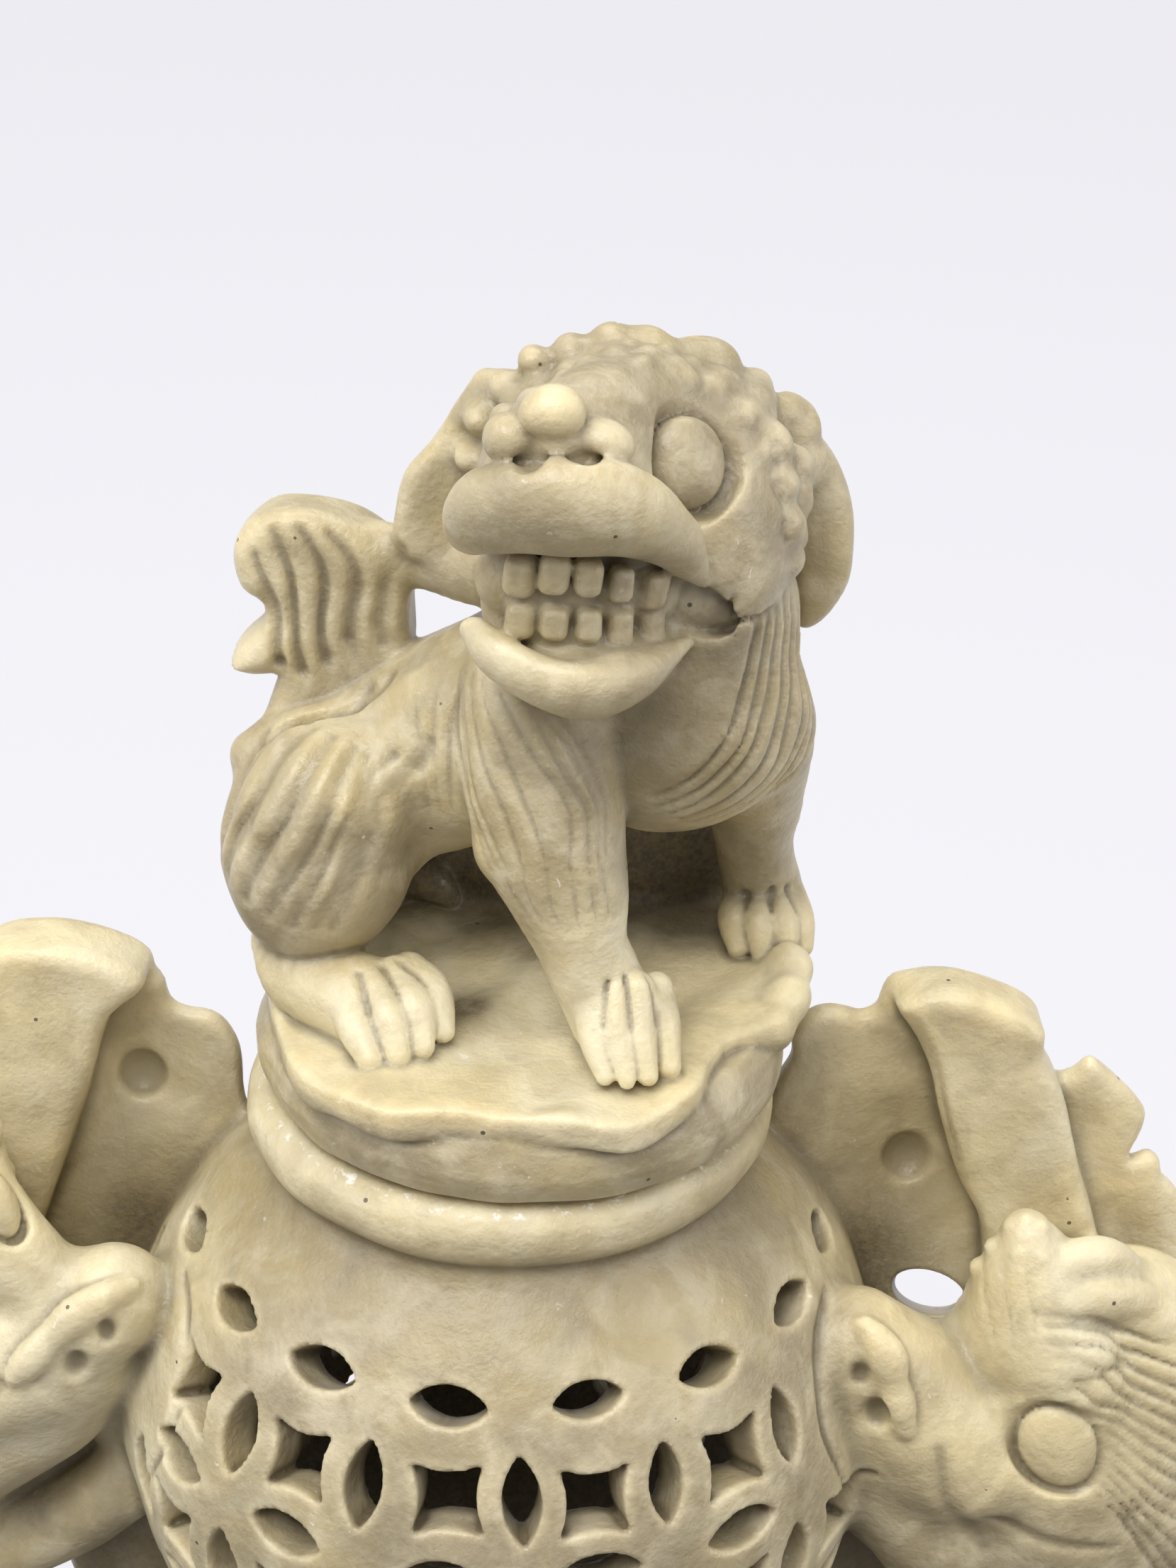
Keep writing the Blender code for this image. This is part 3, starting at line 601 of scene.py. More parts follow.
# curls over the crown and down the back of the head
CROWN = ((4, 11, 2.8), (22, 11, 2.6), (42, 10, 2.4), (62, 7, 2.2), (80, 4, 2))
for row, (lift, count, size) in enumerate(CROWN):
    for i in range(count):
        a = math.radians(-12 + (212 if row > 1 else 204) * (i + 0.5 * (row % 2)) / count)
        e = math.radians(lift)
        p = np.array([11 + 16.6 * math.cos(a) * math.cos(e), 1.6 + 13.4 * math.sin(a) * math.cos(e),
                      77.4 + 15.0 * math.sin(e)])
        if p[1] > -3.4:
            q, outward = lid.touch(p + rng.normal(0, 0.4, 3))
            q = q - outward * size * 0.5
            size *= 1 + rng.normal(0, 0.12)
            lid.add(ball(q, (size * 1.1, size * 0.9, size * 0.9)), 1.2)
for x, z, r in ((-3.4, 87.6, 2), (0, 89.2, 1.9), (3.6, 90.4, 1.7), (7.6, 90.9, 2.2),
                (11.6, 90.8, 2), (15.4, 89.6, 1.8), (19, 88.6, 2.1), (22.6, 86.8, 1.9),
                (25.6, 84.2, 2), (-6, 84.6, 2.1), (-7, 80.4, 2)):
    sunk = 1.3 if x < -2 else -0.15
    across = x + (0.8 if x < -2 else 0)
    lid.add(ball((across, 0.2 + 0.1 * x, z - sunk), (r * 0.82, r * 1.2, r * 0.74)), 1.7)
# small worn curls in front of them, down to the brow
for row, (deep, count) in enumerate(((3.4, 11), (6.2, 9), (8.6, 6))):
    for i in range(count):
        a = math.radians(24 + 132 * (i + 0.5 * (row % 2)) / count)
        x = 11 + (17 - row) * math.cos(a) + rng.normal(0, 0.5)
        q, outward = lid.touch((x, -deep, 78 + 14 * math.sin(a)))
        size = 1.25 + rng.normal(0, 0.2)
        lid.add(ball(q - outward * size * 0.45, size), 1.3)
# curls on the cheek behind the eye
for x, y, z, r in ((24.4, -6, 83, 2.3), (27.6, -2.2, 80.6, 2.3),
                   (24.6, -7, 79.4, 2.2), (27.4, -3.4, 76.6, 2.2),
                   (24.6, -7.2, 75.4, 2.2), (27.2, -3.6, 72.8, 2), (24.8, -6.4, 71.6, 1.9)):
    q, outward = lid.touch((x, y, z))
    lid.add(ball(q - outward, (r * 1.05, r * 0.9, r * 1.05)), 1)
for x, y, z in ((24.4, -6, 83), (24.6, -7, 79.4), (24.6, -7.2, 75.4), (27.6, -2.2, 80.6)):
    q = np.array([x, y - 1.6, z])
    ringed = [q + 1.1 * np.array([math.cos(t), 0, math.sin(t)]) for t in np.linspace(0.3, 5.4, 6)]
    lid.stroke(ringed, 0.6, 0.25, 0.2)

# fur: rings round the chest, then down the neck, shoulder and upper foreleg
lid.strokes([(20.4, -12, 71.6), (23, -11, 67), (22.8, -12, 59.3), (18.8, -13, 51.5), (12.6, -14, 45.4)],
            [(27.6, -1, 66), (29.6, -0.5, 60), (30.2, -1, 53), (28.2, -3, 46.6), (22.4, -6, 41.4)],
            8, 0.12, width=1.3, depth=0.55, k=0.4)
lid.strokes([(-7.6, -6, 59), (-7.4, -10, 52), (-5.6, -13, 46), (-3, -16, 40)],
            [(3, -15, 58), (7, -16, 53), (9.8, -16, 48), (9.6, -17, 43)],
            9, 0.12, width=1.1, depth=0.34, k=0.4)
lid.strokes([(-0.6, -16, 40.5), (0.4, -17, 37.6), (1.8, -18, 35)],
            [(9, -18, 43), (9.2, -18, 39), (9.4, -18, 36)], 6, 0.1, width=0.9, depth=0.24, k=0.3)
# fur: flank, and wide locks across the hip
lid.strokes([(-11, -4, 55), (-10.6, -9, 49), (-9.4, -9, 42)],
            [(-8.4, -8, 57), (-8, -10, 50), (-7.4, -10, 43)], 3, 0.2, width=1, depth=0.3, k=0.4)
lid.strokes([(-25.6, 0, 45.6), (-29, -4, 40.8), (-31.4, -4, 35.6)],
            [(-11.6, -12, 51.5), (-13.2, -14, 43), (-16.2, -14, 36), (-19.4, -13.4, 30.5)],
            8, 0.2, width=2.3, depth=0.75, k=1.1)
lid.strokes([(-27, -4, 42), (-30.4, -4, 36.6)], [(-17, -12, 44), (-22, -14, 34.5)], 5, 0.1,
            width=0.9, depth=0.3, k=0.3)
# fur: back of the body
lid.strokes([(-6, 12, 56), (-14, 15, 50), (-24, 15, 42)], [(8, 16, 58), (2, 18, 46), (-4, 15, 38)], 7,
            0.2, width=1.6, depth=0.5, k=0.7)
lid.strokes([(14, 14, 66), (12, 16, 54), (8, 14, 44)], [(28, 6, 62), (29, 6, 54), (26, 8, 46)], 6, 0.2,
            width=1.4, depth=0.5, k=0.6)
# strands of the tail, front and back
for side in (-1, 14):
    for s in ([(-28.6, 66.5), (-27, 62), (-26.2, 56), (-25.6, 50), (-26, 45)],
              [(-26.6, 69.4), (-24.6, 64), (-24.2, 57), (-23.4, 50), (-24.6, 45)],
              [(-23.6, 70), (-21.2, 64.5), (-21.6, 58), (-20.8, 51), (-22.6, 45.6)],
              [(-20.4, 69.6), (-17.8, 64.5), (-18.6, 58), (-18, 51.5), (-20.4, 46)],
              [(-17.4, 68.4), (-14.9, 63.5), (-15.6, 58), (-15.2, 52), (-17.6, 47.4)]):
        lid.stroke([(x, side, z) for x, z in s], 1.9, 0.8, 0.7)
# locks carved into the stone at the back
lid.strokes([(-17, 28, 44), (-20, 29, 36), (-16, 29, 28), (-18, 28, 19)],
            [(27, 27, 44), (24, 28, 36), (28, 28, 28), (26, 27, 19)], 10, 0, width=2.4, depth=0.7, k=0.9)
lid.unevenness(0.17, ((13, 0.6), (6.4, 0.22)), 5)
lid.cut(turned([(0, 45), (DRUM_LOW, 45)]))


# ------------------------------------------------------------------ the pierced globe, ring and foot
JSTEP = 0.5
jar = Clay((-91, -48, TABLE_Z - 1), (91, 48, 22), JSTEP)


def hollow():
    """The inside of the globe and the bore of its mouth."""
    jar.cut(ball((0, 0, GLOBE_Z), GLOBE_R - WALL))
    jar.cut(turned([(-16, BORE_R), (9, BORE_R)]), 0.5)


jar.add(ball((0, 0, GLOBE_Z), GLOBE_R))
RING = [(-1.6, RING_R - 2.6), (-0.6, RING_R - 1.4), (0.3, RING_R - 0.6), (1.6, RING_R),
        (3.4, RING_R + 0.1), (4.8, RING_R - 0.3), (6, RING_R - 1.3), (6.6, RING_R - 2.3)]
jar.add(turned([(-14, RING_R - 2.4), (-1, RING_R - 2)], soft=0.3), 1.8)
jar.add(turned(RING, soft=0.4), 0.3)
hollow()
FOOT = [(TABLE_Z, 30.4), (TABLE_Z + 1, 31), (TABLE_Z + 3.2, 30.8), (TABLE_Z + 5.4, 28.6),
        (TABLE_Z + 8, 27.4), (TABLE_Z + 12, 27.8), (TABLE_Z + 17.5, 29)]
jar.add(turned(FOOT, soft=0.6), 1)


def pierce(azimuth, latitude, kind):
    """One opening of the coin pattern, cut through the wall. Near a handle, one that the handle
    covers is left out."""
    a = math.radians(azimuth + rng.normal(0, 0.35))
    lat = math.radians(latitude + rng.normal(0, 0.25))
    out = np.array([math.sin(a), -math.cos(a), 0])
    side = np.array([math.cos(a), math.sin(a), 0])
    c = out * GLOBE_R * math.cos(lat) + np.array([0, 0, GLOBE_Z + GLOBE_R * math.sin(lat)])
    shrink = math.cos(math.radians(latitude)) ** 0.75
    lean = math.radians(rng.normal(0, 2.5))
    size = 1 + rng.normal(0, 0.035)
    tip = 0.85 * math.tan(lat) if lat > 0 else -0.1
    if abs(out[0]) > 0.6 and jar.sample([c + out * 3, c + out * 2.6 + side * 3.2,
                                         c + out * 2.6 - side * 3.2]).min() < 0.5:
        return

    def field(x, y, z):
        w = (x - c[0]) * out[0] + (y - c[1]) * out[1]
        u = ((x - c[0]) * side[0] + (y - c[1]) * side[1]) / (shrink * size)
        v = (z - c[2] - tip * w) / size + 0 * u
        u, v = u * math.cos(lean) + v * math.sin(lean), v * math.cos(lean) - u * math.sin(lean)
        inward = 1 + np.clip(-w, 0, 9) * 0.018
        u, v = u * inward, v * inward
        if kind == "wide":
            r, off = 6.2, 3.75
            flat = np.maximum(np.sqrt(u * u + (v - off) ** 2), np.sqrt(u * u + (v + off) ** 2)) - r
        elif kind == "tall":
            r, off = 7.7, 5.45
            flat = np.maximum(np.sqrt((u - off) ** 2 + v * v), np.sqrt((u + off) ** 2 + v * v)) - r
        else:
            s, r, dip = 4.15, 9.5, 0.75
            k = s - dip + r
            flat = np.maximum(np.abs(u), np.abs(v)) - s
            for du, dv in ((k, 0), (-k, 0), (0, k), (0, -k)):
                flat = np.maximum(flat, r - np.sqrt((u - du) ** 2 + (v - dv) ** 2))
        return np.maximum(flat, np.abs(w + 7) - 9.5 + 0 * flat)

    near, far = c + out * 4, c - out * 16
    jar.cut((field, np.minimum(near, far) - [7, 7, 15], np.maximum(near, far) + [7, 7, 6]), 0.35)


# ------------------------------------------------------------------ the dragon handles
def dragon(side, tilt, shift):
    """side is 1 at the right, -1 at the left; tilt turns the head about the snout's tip, outward
    end up, and shift moves it."""
    t = math.radians(tilt)
    pin = np.array([38, -14, -16])

    def at(p, turn=True):
        p = np.array(p, float)
        q = p[:3].copy()
        if turn:
            d = q - pin
            q = pin + [d[0] * math.cos(t) - d[2] * math.sin(t), d[1],
                       d[2] * math.cos(t) + d[0] * math.sin(t)]
            q = q + shift
        q[0] *= side
        return np.concatenate([q, p[3:]])

    def path(*pts, turn=True):
        return [at(p, turn) for p in pts]

    def leaf(pts):
        return [(side * x, z) for x, z in pts]

    # fins and rib
    if side > 0:
        fin = [(30, -10), (31.4, 0), (33.1, 4.5), (32.9, 7.5), (34, 9.9), (36, 11.2), (38.4, 11.2),
               (40.6, 10.7), (42.3, 11.7), (42.9, 13.9), (45, 15.4), (49, 13), (52, 2), (56, -8),
               (60, -18), (62, -28), (52, -40), (44, -42), (36, -34), (32, -20)]
        rib = [(43.4, 14.2), (46, 16.2), (50, 16.7), (54.4, 15.7), (58.6, 13.9), (61, 11.9),
               (61.6, 9.6), (62.7, 6.5), (64.1, 3.9), (65.8, -2.2), (67.5, -7.5), (70.7, -15.8),
               (73, -26), (60, -28), (57, -16), (53.8, -10.2), (51.6, -4.2), (49, 4), (46.2, 10)]
        dimple = (48, -9.6)
    else:
        fin = [(29, -12), (31.4, -4), (31.8, 2), (32.3, 4.6), (33.6, 6.8), (35.6, 7.9), (38, 8),
               (39.6, 8.8), (40.2, 10.6), (40.8, 12.8), (44.4, 16.8), (48, 12), (49, 2), (54, -10),
               (58, -20), (60, -28), (52, -40), (44, -42), (36, -34), (32, -20)]
        rib = [(41.6, 14.6), (44.4, 17.4), (49.7, 19), (54, 19.3), (58.6, 18.6), (61.6, 15.5), (62, 10),
               (62.5, 4), (65, -6), (68, -16), (70, -26), (60, -28), (56.5, -21), (53.6, -14),
               (50.6, -5), (48, 4), (45.6, 10)]
        dimple = (43.6, -0.6)
    wing = [(60, 9), (62.8, 4.2), (64.7, 2.5), (66.4, 3.4), (67.4, 5), (68.8, 5.4), (72.4, 2.2),
            (74.9, -0.3), (76.2, -2.3), (75.8, -4.4), (74.6, -7.1), (75, -8.6), (77, -7.9),
            (78.6, -8.9), (79.2, -11.1), (80.6, -12.5), (82.4, -15.3), (82.8, -18), (85, -21),
            (84, -27), (72, -27), (64, -10)]

    def cup(u, v):
        away = (np.abs(u) - dimple[0]) ** 2 + (v - dimple[1] - 2) ** 2
        return 2.6 * np.exp(-away / 90) - 1.0

    jar.add(slab(leaf(fin), 7, 1.7, 0.8, "xz", cup), 1.2)
    web = [(33, -28), (38, -22), (46, -26), (60, -26), (70, -34), (74, -48), (68, -62), (58, -72),
           (44, -78), (28, -76), (30, -50)]
    jar.add(slab(leaf(web), 8.4, 2.6, 1.2, "xz"), 2)
    jar.add(slab(leaf(wing), 6.4, 1.6, 0.8, "xz", lambda u, v: 0.4 * np.sin(u * 0.6 + v * 0.3)), 1)
    jar.add(slab(leaf(rib), 4, 4.4, 1.1, "xz"), 0.8)
    jar.add(ball((side * dimple[0], 10.2, dimple[1] - 0.4), (5, 2.6, 5)), 1.5)
    jar.cut(ball((side * dimple[0], 6.5, dimple[1] - 0.4), (3, 2.5, 3.3)), 0.7)
    if side > 0:
        jar.stroke([(45.2, 0, 13.4), (47.8, 0, 7.9), (50.4, 0, 0), (52.6, 0, -6)], 1.6, 0.5, 1)
    # lower jaw, behind the head, and the hollow of the mouth
    jar.add(tube(path((40.5, -6, -43, 4.4), (44.6, -7, -49.4, 5), (51.5, -7, -56.2, 5),
                      (61, -6, -63, 4.6), turn=False)), 1)
    jar.add(ball(at((44.5, -3.5, -39), False), (8.5, 6.5, 9)), 2)
    jaw = [(38, -34), (48, -38), (60, -50), (70, -60), (64, -66), (50, -58), (38, -48)]
    jar.add(slab(leaf(jaw), -1.5, 4, 1.5, "xz"), 1)
    jar.add(ball(at((43, 2, -67), False), (12.5, 7, 16)), 3)
    # head
    jar.add(ball(at((64.5, -8, -38.5)), (19, 13.2, 19)), 2)
    jar.add(tube(path((40.4, -15, -20.8, 6.3), (47, -13.6, -29.6, 9.2), (54, -12, -35.6, 11))), 2)
    jar.add(tube(path((42, -12.5, -30, 6.8), (46, -12, -40, 8.2), (54, -11, -50, 9.4))), 2.5)
    if side > 0:
        jar.add(ball(at((65, -9, -52)), (16, 13, 14)), 4)
        jar.add(ball(at((75, -7, -50)), (12.5, 11.5, 15)), 3)
    else:
        jar.add(tube([(-51.6, -12, -19.6, 4.6), (-56, -12, -12.6, 5), (-60.6, -11, -5.4, 5.2)]), 2)
    # crest: the brow rises to a knot of small bumps
    jar.add(tube(path((63.4, -10, -25, 10.4), (61.4, -10.2, -16, 7), (59.8, -10, -9.2, 3.5))), 2.5)
    for x, y, z, r in ((57.6, -10, -7.6, 1.1), (59.2, -10.4, -6.4, 1.1), (61, -10.8, -6.8, 1.1),
                       (58.2, -12.6, -9.4, 1), (60.8, -13.2, -9.2, 1.1), (55.9, -9.4, -10.8, 1.1),
                       (54.9, -8.6, -14.4, 1)):
        jar.add(ball(at((x, y, z)), r), 0.8)
    # mane, in overlapping locks that sweep outward
    jar.add(ball(at((74, -6, -31)), (13, 10, 17)), 2.5)
    jar.add(tube(path((62, -9, -20, 6.5), (66.5, -8, -19.5, 6.2), (73, -6.5, -22.5, 6),
                      (80, -5, -27, 5.4))), 2)
    for lock in (((60.4, -12.4, -14.4, 1.4), (65, -11.6, -10.6, 2.6), (70, -9.8, -11.9, 2.6),
                  (75, -8, -16.6, 1.2)),
                 ((60.6, -14.2, -16.8, 1.4), (66, -13.6, -14.2, 2.6), (72, -11.6, -15.8, 2.6),
                  (78, -9, -20.4, 1.2)),
                 ((68, -9.8, -16.8, 1.8), (73.4, -8.4, -16.4, 2.5), (78.4, -7, -18, 2.2),
                  (84, -5, -22.6, 1)),
                 ((69, -12, -19.6, 1.8), (74.4, -11, -19.4, 2.4), (79.4, -9, -21.4, 2.1),
                  (85, -6, -26.4, 1))):
        jar.add(tube(path(*lock)), 1.3)
    jar.strokes(path((60.6, -15, -15), (66, -15, -16.4), (73, -14, -19.4), (83, -9, -25)),
                path((67.4, -20, -35.6), (71, -18, -41), (75.4, -17, -47.5), (80, -12, -57)),
                13, 0, width=1.3, depth=0.5, k=0.7)
    jar.strokes(path((56.4, -10, -13), (57.4, -13, -17), (58.4, -15, -21)),
                path((59, -13, -9.6), (59.8, -15, -14), (60.6, -16, -19)),
                3, 0, width=0.9, depth=0.2, k=0.3)
    # crease where the snout leaves the globe
    jar.stroke(path((36.4, -13.7, -14), (35.4, -18.6, -16.5), (35.4, -22.1, -20.3),
                    (36.2, -24.3, -26.1), (37.4, -23, -33), (39.4, -20, -40), turn=False), 1.6, 0.7,
               0.7)
    # nose flap with its hollows, eye in an oval ring
    flap = [(40.6, -19, -14.6), (42.8, -20, -18), (44.2, -21, -22.2), (45.8, -21, -27.2)]
    if side < 0:
        flap = [(38.8, -19, -14), (41.8, -20, -17.2), (44.8, -21, -20.8), (46.8, -21, -25.4),
                (48.6, -21, -29)]
    thick = [1.1, 1.9, 2.4, 1.8, 2.2, 1.2]
    flap = jar.onto(curve(path(*flap), len(thick)))
    jar.add(tube(np.column_stack([flap, thick]), squash=((0, 1, 0.2), 0.8), per=1.2), 0.7)
    for x, y, z, r in ((40.2, -20, -20.4, 1.2), (42.4, -21.6, -25.4, 1.5)):
        jar.cut(ball(jar.touch(at((x, y, z)))[0], (r, r, r * 1.4)), 0.8)
    if side > 0:
        eyeball(jar, (64.2, -21, -31), (4.4, 5.7), -34, 1.26, 1.3)
    else:
        eyeball(jar, (-54, -16, -3), (2.3, 4.4), -8, 1.34, 1.3)
        jar.add(ball(jar.touch((-57, -10, 4.4))[0], (2.2, 2.2, 2.4)), 0.8)
    jar.stroke(path((56, -21, -40), (64, -21, -44), (72, -18, -46)), 1.6, 0.4, 1)
    jar.stroke(path((50, -22, -30), (52, -22, -38), (57, -21, -46)), 2.4, 0.35, 1.5)
    # opening between snout, rib and globe, drilled slanting down
    if side > 0:
        jar.cut(tube([(50.8, -3, -24, 4.2), (55.2, 20, -38.2, 4.6)],
                     squash=((0.25, 0.45, 0.85), 0.60)), 0.5)


dragon(1, 0, (0, 0, 0))
dragon(-1, 16, (3, 2, 1))
jar.unevenness(0.2, ((19, 0.6), (9, 0.26)), 3)
hollow()
# the ring's seat is level, so that the lid turns on it
jar.cut(turned([(RING_TOP, SEAT_R), (12, SEAT_R)]))
# the outer end of the left head, beyond the picture, is rounded off
outer = int(np.searchsorted(jar.ax[0], -50))
gx, gy, gz = np.meshgrid(jar.ax[0][:outer], jar.ax[1], jar.ax[2], indexing="ij", sparse=True)
dome = 38 * (np.sqrt(((gx + 50) / 38) ** 2 + (gy / 60) ** 2 + ((gz + 30) / 70) ** 2) - 1)
jar.d[:outer] = smax(jar.d[:outer], dome, 4)
for i in range(COLUMNS):
    here = PATTERN_TURN + (i + 0.5) * 360 / COLUMNS
    for lat in (35.6, 11.8, -11, -34):
        pierce(here, lat, "wide")
    for lat in (22.5, 0, -22.5):
        pierce(here, lat, "square")
        pierce(here + 180 / COLUMNS, lat, "tall")


def rise(v, lo, hi):
    """A smooth step from 0 at lo to 1 at hi."""
    t = np.clip((v - lo) / (hi - lo), 0, 1)
    return t * t * (3 - 2 * t)


def lid_shading_and_residue(p):
    """Painted shade and painted light. Shade over 0.5 is white residue in the groove above the ring;
    under
    0.5 it darkens: painted shade on the chest and under the belly, and down to the dark dust on the
                    plate.
    Paleness is painted light on the plate, the nose, the tail and the lower foreleg."""
    x, y, z = p.T
    seat = np.exp(-((z - 7.3) / 0.5) ** 2) * (np.hypot(x - DRUM_X, y) > 26)
    dust = 0.5 * np.exp(-(((x + 5.5) ** 2 + (y + 7.5) ** 2) / 20.0)) * (np.abs(z - 18) < 2.2)
    # painted shade: the chest and the space under the belly are painted darker
    chest = 0.27 * np.exp(-((x - 15) ** 2 + (z - 54) ** 2) / 110.0) * rise(-y, 4, 10)
    belly = 0.48 * rise(44 - z, 0, 8) * rise(z, 17, 20) * rise(y, 0, 14) * rise(30 - np.abs(x), 0, 8)
    belly = belly * rise(26 - y, 0, 4)
    # painted light: the plate, the nose, the tail and the lower foreleg are painted paler
    plate = 0.95 * rise(28 - z, 0, 7) * rise(z, 15.2, 17.4) * rise(-y, -16, 2)
    nose = 0.4 * np.exp(-((x - 2) ** 2 + (z - 90) ** 2) / 16.0) * rise(-y, 15, 19)
    tail = 0.3 * rise(-x, 9, 18) * rise(z, 48, 58)
    leg = 0.85 * rise(42 - z, 0, 9) * np.exp(-((x - 9) / 6.0) ** 2) * rise(-y, 9, 12) * (z > 14)
    return (np.clip(0.5 + 0.5 * seat - np.maximum.reduce([dust, chest, belly]), 0, 1),
            np.maximum.reduce([plate, nose, tail, leg]))


def jar_shading_and_residue(p):
    """Painted shade and painted light of the jar: painted shade inside, behind and under the handles'
    heads and under the ring; painted light on the heads and the ring. Shade over 0.5 is white residue in
    the ring's seat.
    """
    x, y, z = p.T
    rho = np.hypot(x, y)
    out = np.abs(x)
    middle = np.sqrt(rho ** 2 + (z - GLOBE_Z) ** 2)
    seat = np.exp(-((z - 6.1) / 0.5) ** 2) * (rho > 26) * (rho < 32)
    # painted shade: inside the globe, in the nooks behind the heads, under the heads and on the shoulder
    # under the ring
    inside = 0.42 * (1 - rise(middle, GLOBE_R - 5.6, GLOBE_R - 3.6))
    nook = 0.40 * np.exp(-((out - 44) / 9.0) ** 2) * rise(-z, -6, 22) * rise(y, -3, 3)
    under = 0.36 * rise(out, 37, 41) * rise(58 - out, 0, 8) * rise(-z - 0.55 * out, 12, 30)
    under = under * rise(y, -12, -4)
    shoulder = 0.22 * rise(-z, 0.2, 1.2) * rise(z, -14, -2) * rise(GLOBE_R + 2.5 - middle, 0, 2)
    # painted light: the handles' heads and the ring are painted paler
    head = 0.78 * rise(out, 30, 46) * rise(z, -60, -30)
    ring = 0.3 * rise(z, -0.5, 1.5) * (rho < 32)
    return (np.clip(0.5 + 0.5 * seat - np.maximum.reduce([inside, shoulder, nook, under]), 0, 1),
            np.maximum(head, ring))



lid_stone = skin(lid, "lid_stone", lid_shading_and_residue)
jar_stone = skin(jar, "jar_stone", jar_shading_and_residue)


# ------------------------------------------------------------------ waxed soapstone, its colour with painted shade and painted light
def stone():
    mat = bpy.data.materials.new("waxed_soapstone")
    mat.use_nodes = True
    nt = mat.node_tree
    nt.nodes.clear()

    def node(kind, **put):
        n = nt.nodes.new(kind)
        for k, v in put.items():
            if k in n.inputs:
                n.inputs[k].default_value = v
            else:
                setattr(n, k, v)
        return n

    def link(a, b):
        nt.links.new(a, b)

    def feed(sock, v):
        if isinstance(v, tuple):
            sock.default_value = (*v, 1.0)
        elif isinstance(v, (int, float)):
            sock.default_value = v
        else:
            link(v, sock)

    def mix(fac, a, b):
        m = node("ShaderNodeMix", data_type="RGBA")
        feed(m.inputs[0], fac)
        feed(m.inputs[6], a)
        feed(m.inputs[7], b)
        return m.outputs[2]

    def ramp(src, lo, hi, a=0.0, b=1.0):
        m = node("ShaderNodeMapRange", **{"From Min": lo, "From Max": hi, "To Min": a, "To Max": b})
        link(src, m.inputs["Value"])
        return m.outputs["Result"]

    def maths(a, b, op="MULTIPLY"):
        m = node("ShaderNodeMath", operation=op)
        feed(m.inputs[0], a)
        feed(m.inputs[1], b)
        return m.outputs[0]

    where = node("ShaderNodeTexCoord").outputs["Object"]

    def noise(scale, detail=4.0, rough=0.55, warp=0.0):
        n = node("ShaderNodeTexNoise", Scale=scale, Detail=detail, Roughness=rough, Distortion=warp)
        link(where, n.inputs["Vector"])
        return n.outputs["Fac"]

    carve = node("ShaderNodeAttribute", attribute_name="carve")
    split = node("ShaderNodeSeparateColor")
    link(carve.outputs["Color"], split.inputs[0])
    crease, thin, deep = split.outputs[0], split.outputs[1], split.outputs[2]
    shading_and_residue = carve.outputs["Alpha"]
    clouds = noise(42, 3, 0.5, 0.4)
    mottle = noise(150, 5, 0.6, 0.6)
    fine = noise(620, 4, 0.6)
    veins = noise(75, 6, 0.7, 1.6)

    grey = (0.362, 0.306, 0.198)
    olive = (0.460, 0.380, 0.205)
    cream = (0.745, 0.638, 0.375)
    light = (0.755, 0.690, 0.490)
    rim = (0.790, 0.705, 0.500)
    cloud = (0.272, 0.232, 0.150)
    vein = (0.265, 0.220, 0.138)
    hollows = (0.235, 0.192, 0.112)
    shadow = (0.165, 0.130, 0.070)
    dirt_and_shade = (0.130, 0.098, 0.050)
    ash_and_shade = (0.075, 0.062, 0.050)
    speck = (0.030, 0.026, 0.018)
    white = (0.86, 0.85, 0.80)
    sand = (0.590, 0.528, 0.375)
    haze = (0.76, 0.70, 0.52)
    chalk = (0.84, 0.82, 0.72)
    base = mix(ramp(clouds, 0.40, 0.60), grey, olive)
    base = mix(ramp(mottle, 0.45, 0.62, 0.0, 0.66), base, sand)
    base = mix(ramp(noise(88, 3, 0.5, 0.7), 0.47, 0.62, 0.0, 0.58), base, cloud)
    base = mix(ramp(veins, 0.58, 0.68, 0.0, 0.34), base, vein)
    # painted light: paler where the stone is thin, a painted glow of light through it, and where the
    # shading function asks for painted light
    edge = maths(ramp(thin, 0.15, 0.9), ramp(clouds, 0.35, 0.7, -0.12, 0.16), "ADD")
    painted_light = mix(ramp(clouds, 0.42, 0.60), cream, light)
    edge = maths(ramp(edge, 0.0, 1.0, 0.0, 0.92), ramp(mottle, 0.36, 0.62, 0.62, 1.0))
    base = mix(edge, base, painted_light)
    base = mix(ramp(fine, 0.45, 0.75, 0.0, 0.12), base, haze)
    nick = maths(ramp(noise(430, 3, 0.7, 0.6), 0.69, 0.72), ramp(noise(60, 2, 0.5), 0.45, 0.55))
    base = mix(maths(nick, 0.55), base, chalk)
    # dirt in the creases together with painted shade: creases are painted darker where shade falls in
    # them
    grime_and_shade = maths(ramp(crease, 0.54, 0.82), ramp(mottle, 0.25, 0.7, 0.75, 1.0))
    base = mix(ramp(grime_and_shade, 0.0, 1.0, 0.0, 0.80), base, dirt_and_shade)
    # painted shade: hollows are painted darker the deeper they are
    base = mix(ramp(deep, 0.30, 1.0, 0.0, 0.38), base, hollows)
    worn = ramp(crease, 0.42, 0.10, 0.0, 0.26)
    base = mix(worn, base, rim)
    vor = node("ShaderNodeTexVoronoi", Scale=210)
    link(where, vor.inputs["Vector"])
    dot = maths(vor.outputs["Distance"], 0.055, "LESS_THAN")
    pick = maths(noise(95, 1, 0.5), 0.42, "LESS_THAN")
    base = mix(maths(maths(dot, pick), 0.8), base, speck)
    chips = maths(ramp(shading_and_residue, 0.66, 0.95), ramp(noise(640, 3, 0.7), 0.56, 0.66))
    base = mix(maths(chips, 0.85), base, white)
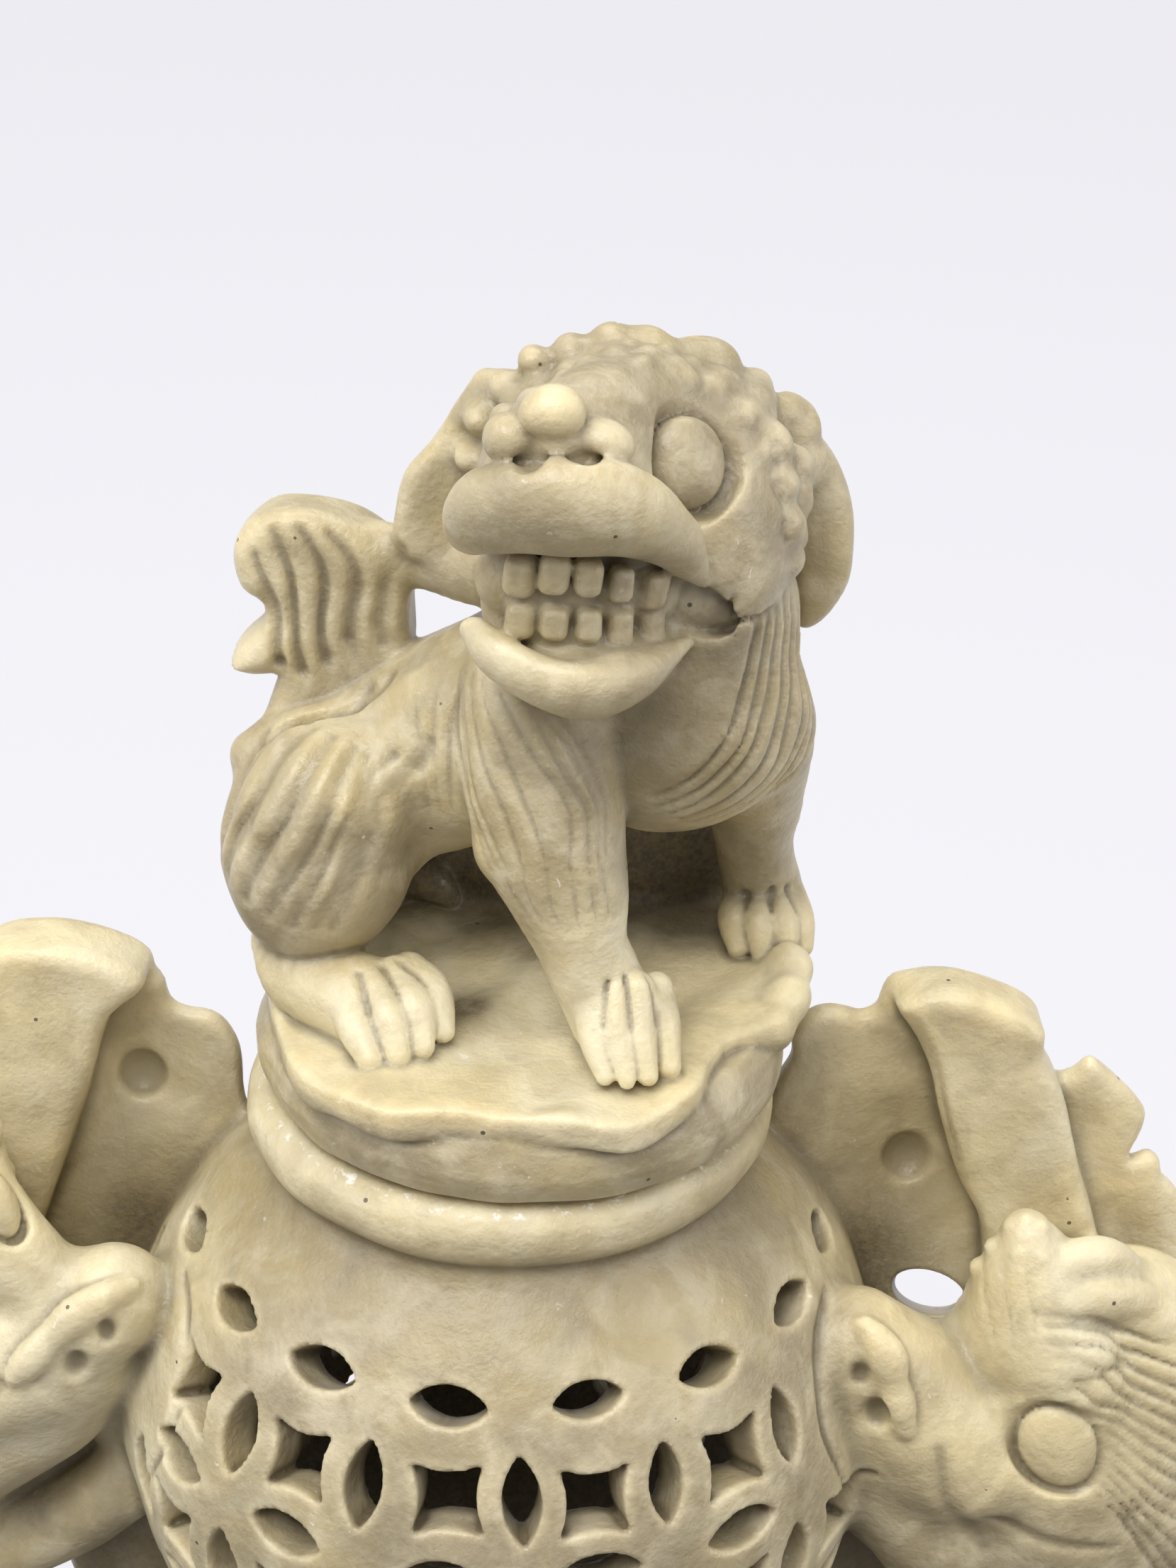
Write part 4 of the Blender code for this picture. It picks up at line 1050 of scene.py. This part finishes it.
    # painted shade where the shade channel is under 0.5, and the dark dust on the plate
    base = mix(ramp(shading_and_residue, 0.49, 0.10, 0.0, 0.80), base, shadow)
    # dark speckle where the shade channel is near 0: the dust on the plate, and the darkest painted
    # shade under the belly and inside the globe
    soot_and_shade = maths(ramp(shading_and_residue, 0.22, 0.0), ramp(noise(900, 4, 0.8), 0.42, 0.60))
    base = mix(maths(soot_and_shade, 0.75), base, ash_and_shade)

    shader = node("ShaderNodeBsdfPrincipled", **{
        "Subsurface Weight": 0.48, "Subsurface Radius": (1.0, 0.78, 0.42), "Subsurface Scale": 0.0030,
        "IOR": 1.5, "Specular IOR Level": 0.5, "Coat Weight": 0.14, "Coat Roughness": 0.12})
    link(base, shader.inputs["Base Color"])
    link(ramp(mottle, 0.3, 0.75, 0.36, 0.56), shader.inputs["Roughness"])
    bump = node("ShaderNodeBump", Strength=0.52, Distance=0.0008)
    relief = maths(maths(noise(1500, 3, 0.6), 0.35), maths(noise(260, 4, 0.6), 1.0), "ADD")
    link(relief, bump.inputs["Height"])
    link(bump.outputs["Normal"], shader.inputs["Normal"])
    out = node("ShaderNodeOutputMaterial")
    link(shader.outputs[0], out.inputs[0])
    return mat


STONE = stone()
for obj in (lid_stone, jar_stone):
    obj.data.materials.append(STONE)

bodies = frame["record"]["behaviour"]["bodies"]
lid_nodes, jar_nodes = bodies["lid"], bodies["jar"]
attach(lid_stone, "lid")
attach(jar_stone, "jar")
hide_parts(*lid_nodes)
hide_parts(*jar_nodes)

# the plug under the lid
plug_lo, plug_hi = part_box("lid_spigot")
low, high = (plug_lo.z - AXIS.z) / MM, (plug_hi.z - AXIS.z) / MM
plug = Clay((-25, -25, low - 1), (25, 25, high + 1.5), STEP * 1.5)
plug.add(turned([(low, 21.8), (low + 1.2, 22.6), (high, PLUG_R)], soft=0.5))
plug_stone = skin(plug, "plug_stone")
plug_stone.data.materials.append(STONE)
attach(plug_stone, "lid_plug")
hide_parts("lid_spigot")


# ------------------------------------------------------------------ floor, light and camera
def paint(obj, name, values):
    """A plain material for a piece of the stage."""
    mat = bpy.data.materials.new(name)
    mat.use_nodes = True
    for key, value in values.items():
        mat.node_tree.nodes["Principled BSDF"].inputs[key].default_value = value
    obj.data.materials.append(mat)


bpy.ops.mesh.primitive_plane_add(size=20, location=(AXIS.x, AXIS.y, 0))
floor = bpy.context.object
floor.name = "floor"
paint(floor, "white_paper", {
    "Base Color": (0.08, 0.08, 0.083, 1), "Roughness": 1.0, "Specular IOR Level": 0.0,
    "Emission Color": (0.845, 0.835, 0.88, 1), "Emission Strength": 0.97})
# a studio flag on the table: it keeps the paper's glow off the underside of the carving
bpy.ops.mesh.primitive_plane_add(size=1, location=(AXIS.x, AXIS.y - 0.30, 0.0003))
board = bpy.context.object
board.name = "dark_board"
board.dimensions = (1.0, 0.62, 0)
board.visible_camera = False
board.visible_shadow = False
paint(board, "dark_board", {"Base Color": (0.045, 0.035, 0.025, 1), "Roughness": 0.7})

world = bpy.data.worlds.new("studio")
scene.world = world
world.use_nodes = True
sky = world.node_tree.nodes["Background"]
sky.inputs["Color"].default_value = (0.875, 0.862, 0.905, 1)
sky.inputs["Strength"].default_value = 0.31

aim = Vector((AXIS.x, AXIS.y, AXIS.z + 0.03))
for name, offset, size, power in (
        ("softbox_top", (-0.16, -0.36, 0.66), (0.66, 0.5), 6.25),
        ("softbox_back", (0.0, 0.35, 0.65), (0.6, 0.3), 1.8),
        ("softbox_left", (-0.75, -0.30, 0.36), (0.45, 0.5), 2.3),
        ("softbox_right", (0.75, -0.30, 0.36), (0.45, 0.5), 2.6),
        ("window_small", (-0.25, -0.30, 0.66), (0.05, 0.04), 0.38)):
    light = bpy.data.lights.new(name, "AREA")
    light.shape = "RECTANGLE"
    light.size, light.size_y = size
    light.energy = power
    light.color = (1, 0.98, 0.95)
    lamp = bpy.data.objects.new(name, light)
    scene.collection.objects.link(lamp)
    at = aim + Vector(offset)
    lamp.location = at
    lamp.rotation_euler = (aim - at).to_track_quat("-Z", "Y").to_euler()

view = bpy.data.cameras.new("camera")
view.sensor_width = 36
view.lens = 55.33
view.clip_start = 0.01
cam = bpy.data.objects.new("camera", view)
scene.collection.objects.link(cam)
eye = Vector((0, -233.25, 158.71)) * MM + AXIS
ahead = Vector((0.02814, 0.89445, -0.44629)).normalized()
above = Vector((-0.03067, 0.44703, 0.89399))
right = ahead.cross(above).normalized()
above = right.cross(ahead)
cam.matrix_world = Matrix(((right.x, above.x, -ahead.x, eye.x), (right.y, above.y, -ahead.y, eye.y),
                           (right.z, above.z, -ahead.z, eye.z), (0, 0, 0, 1)))
scene.camera = cam
scene.view_settings.view_transform = "Standard"
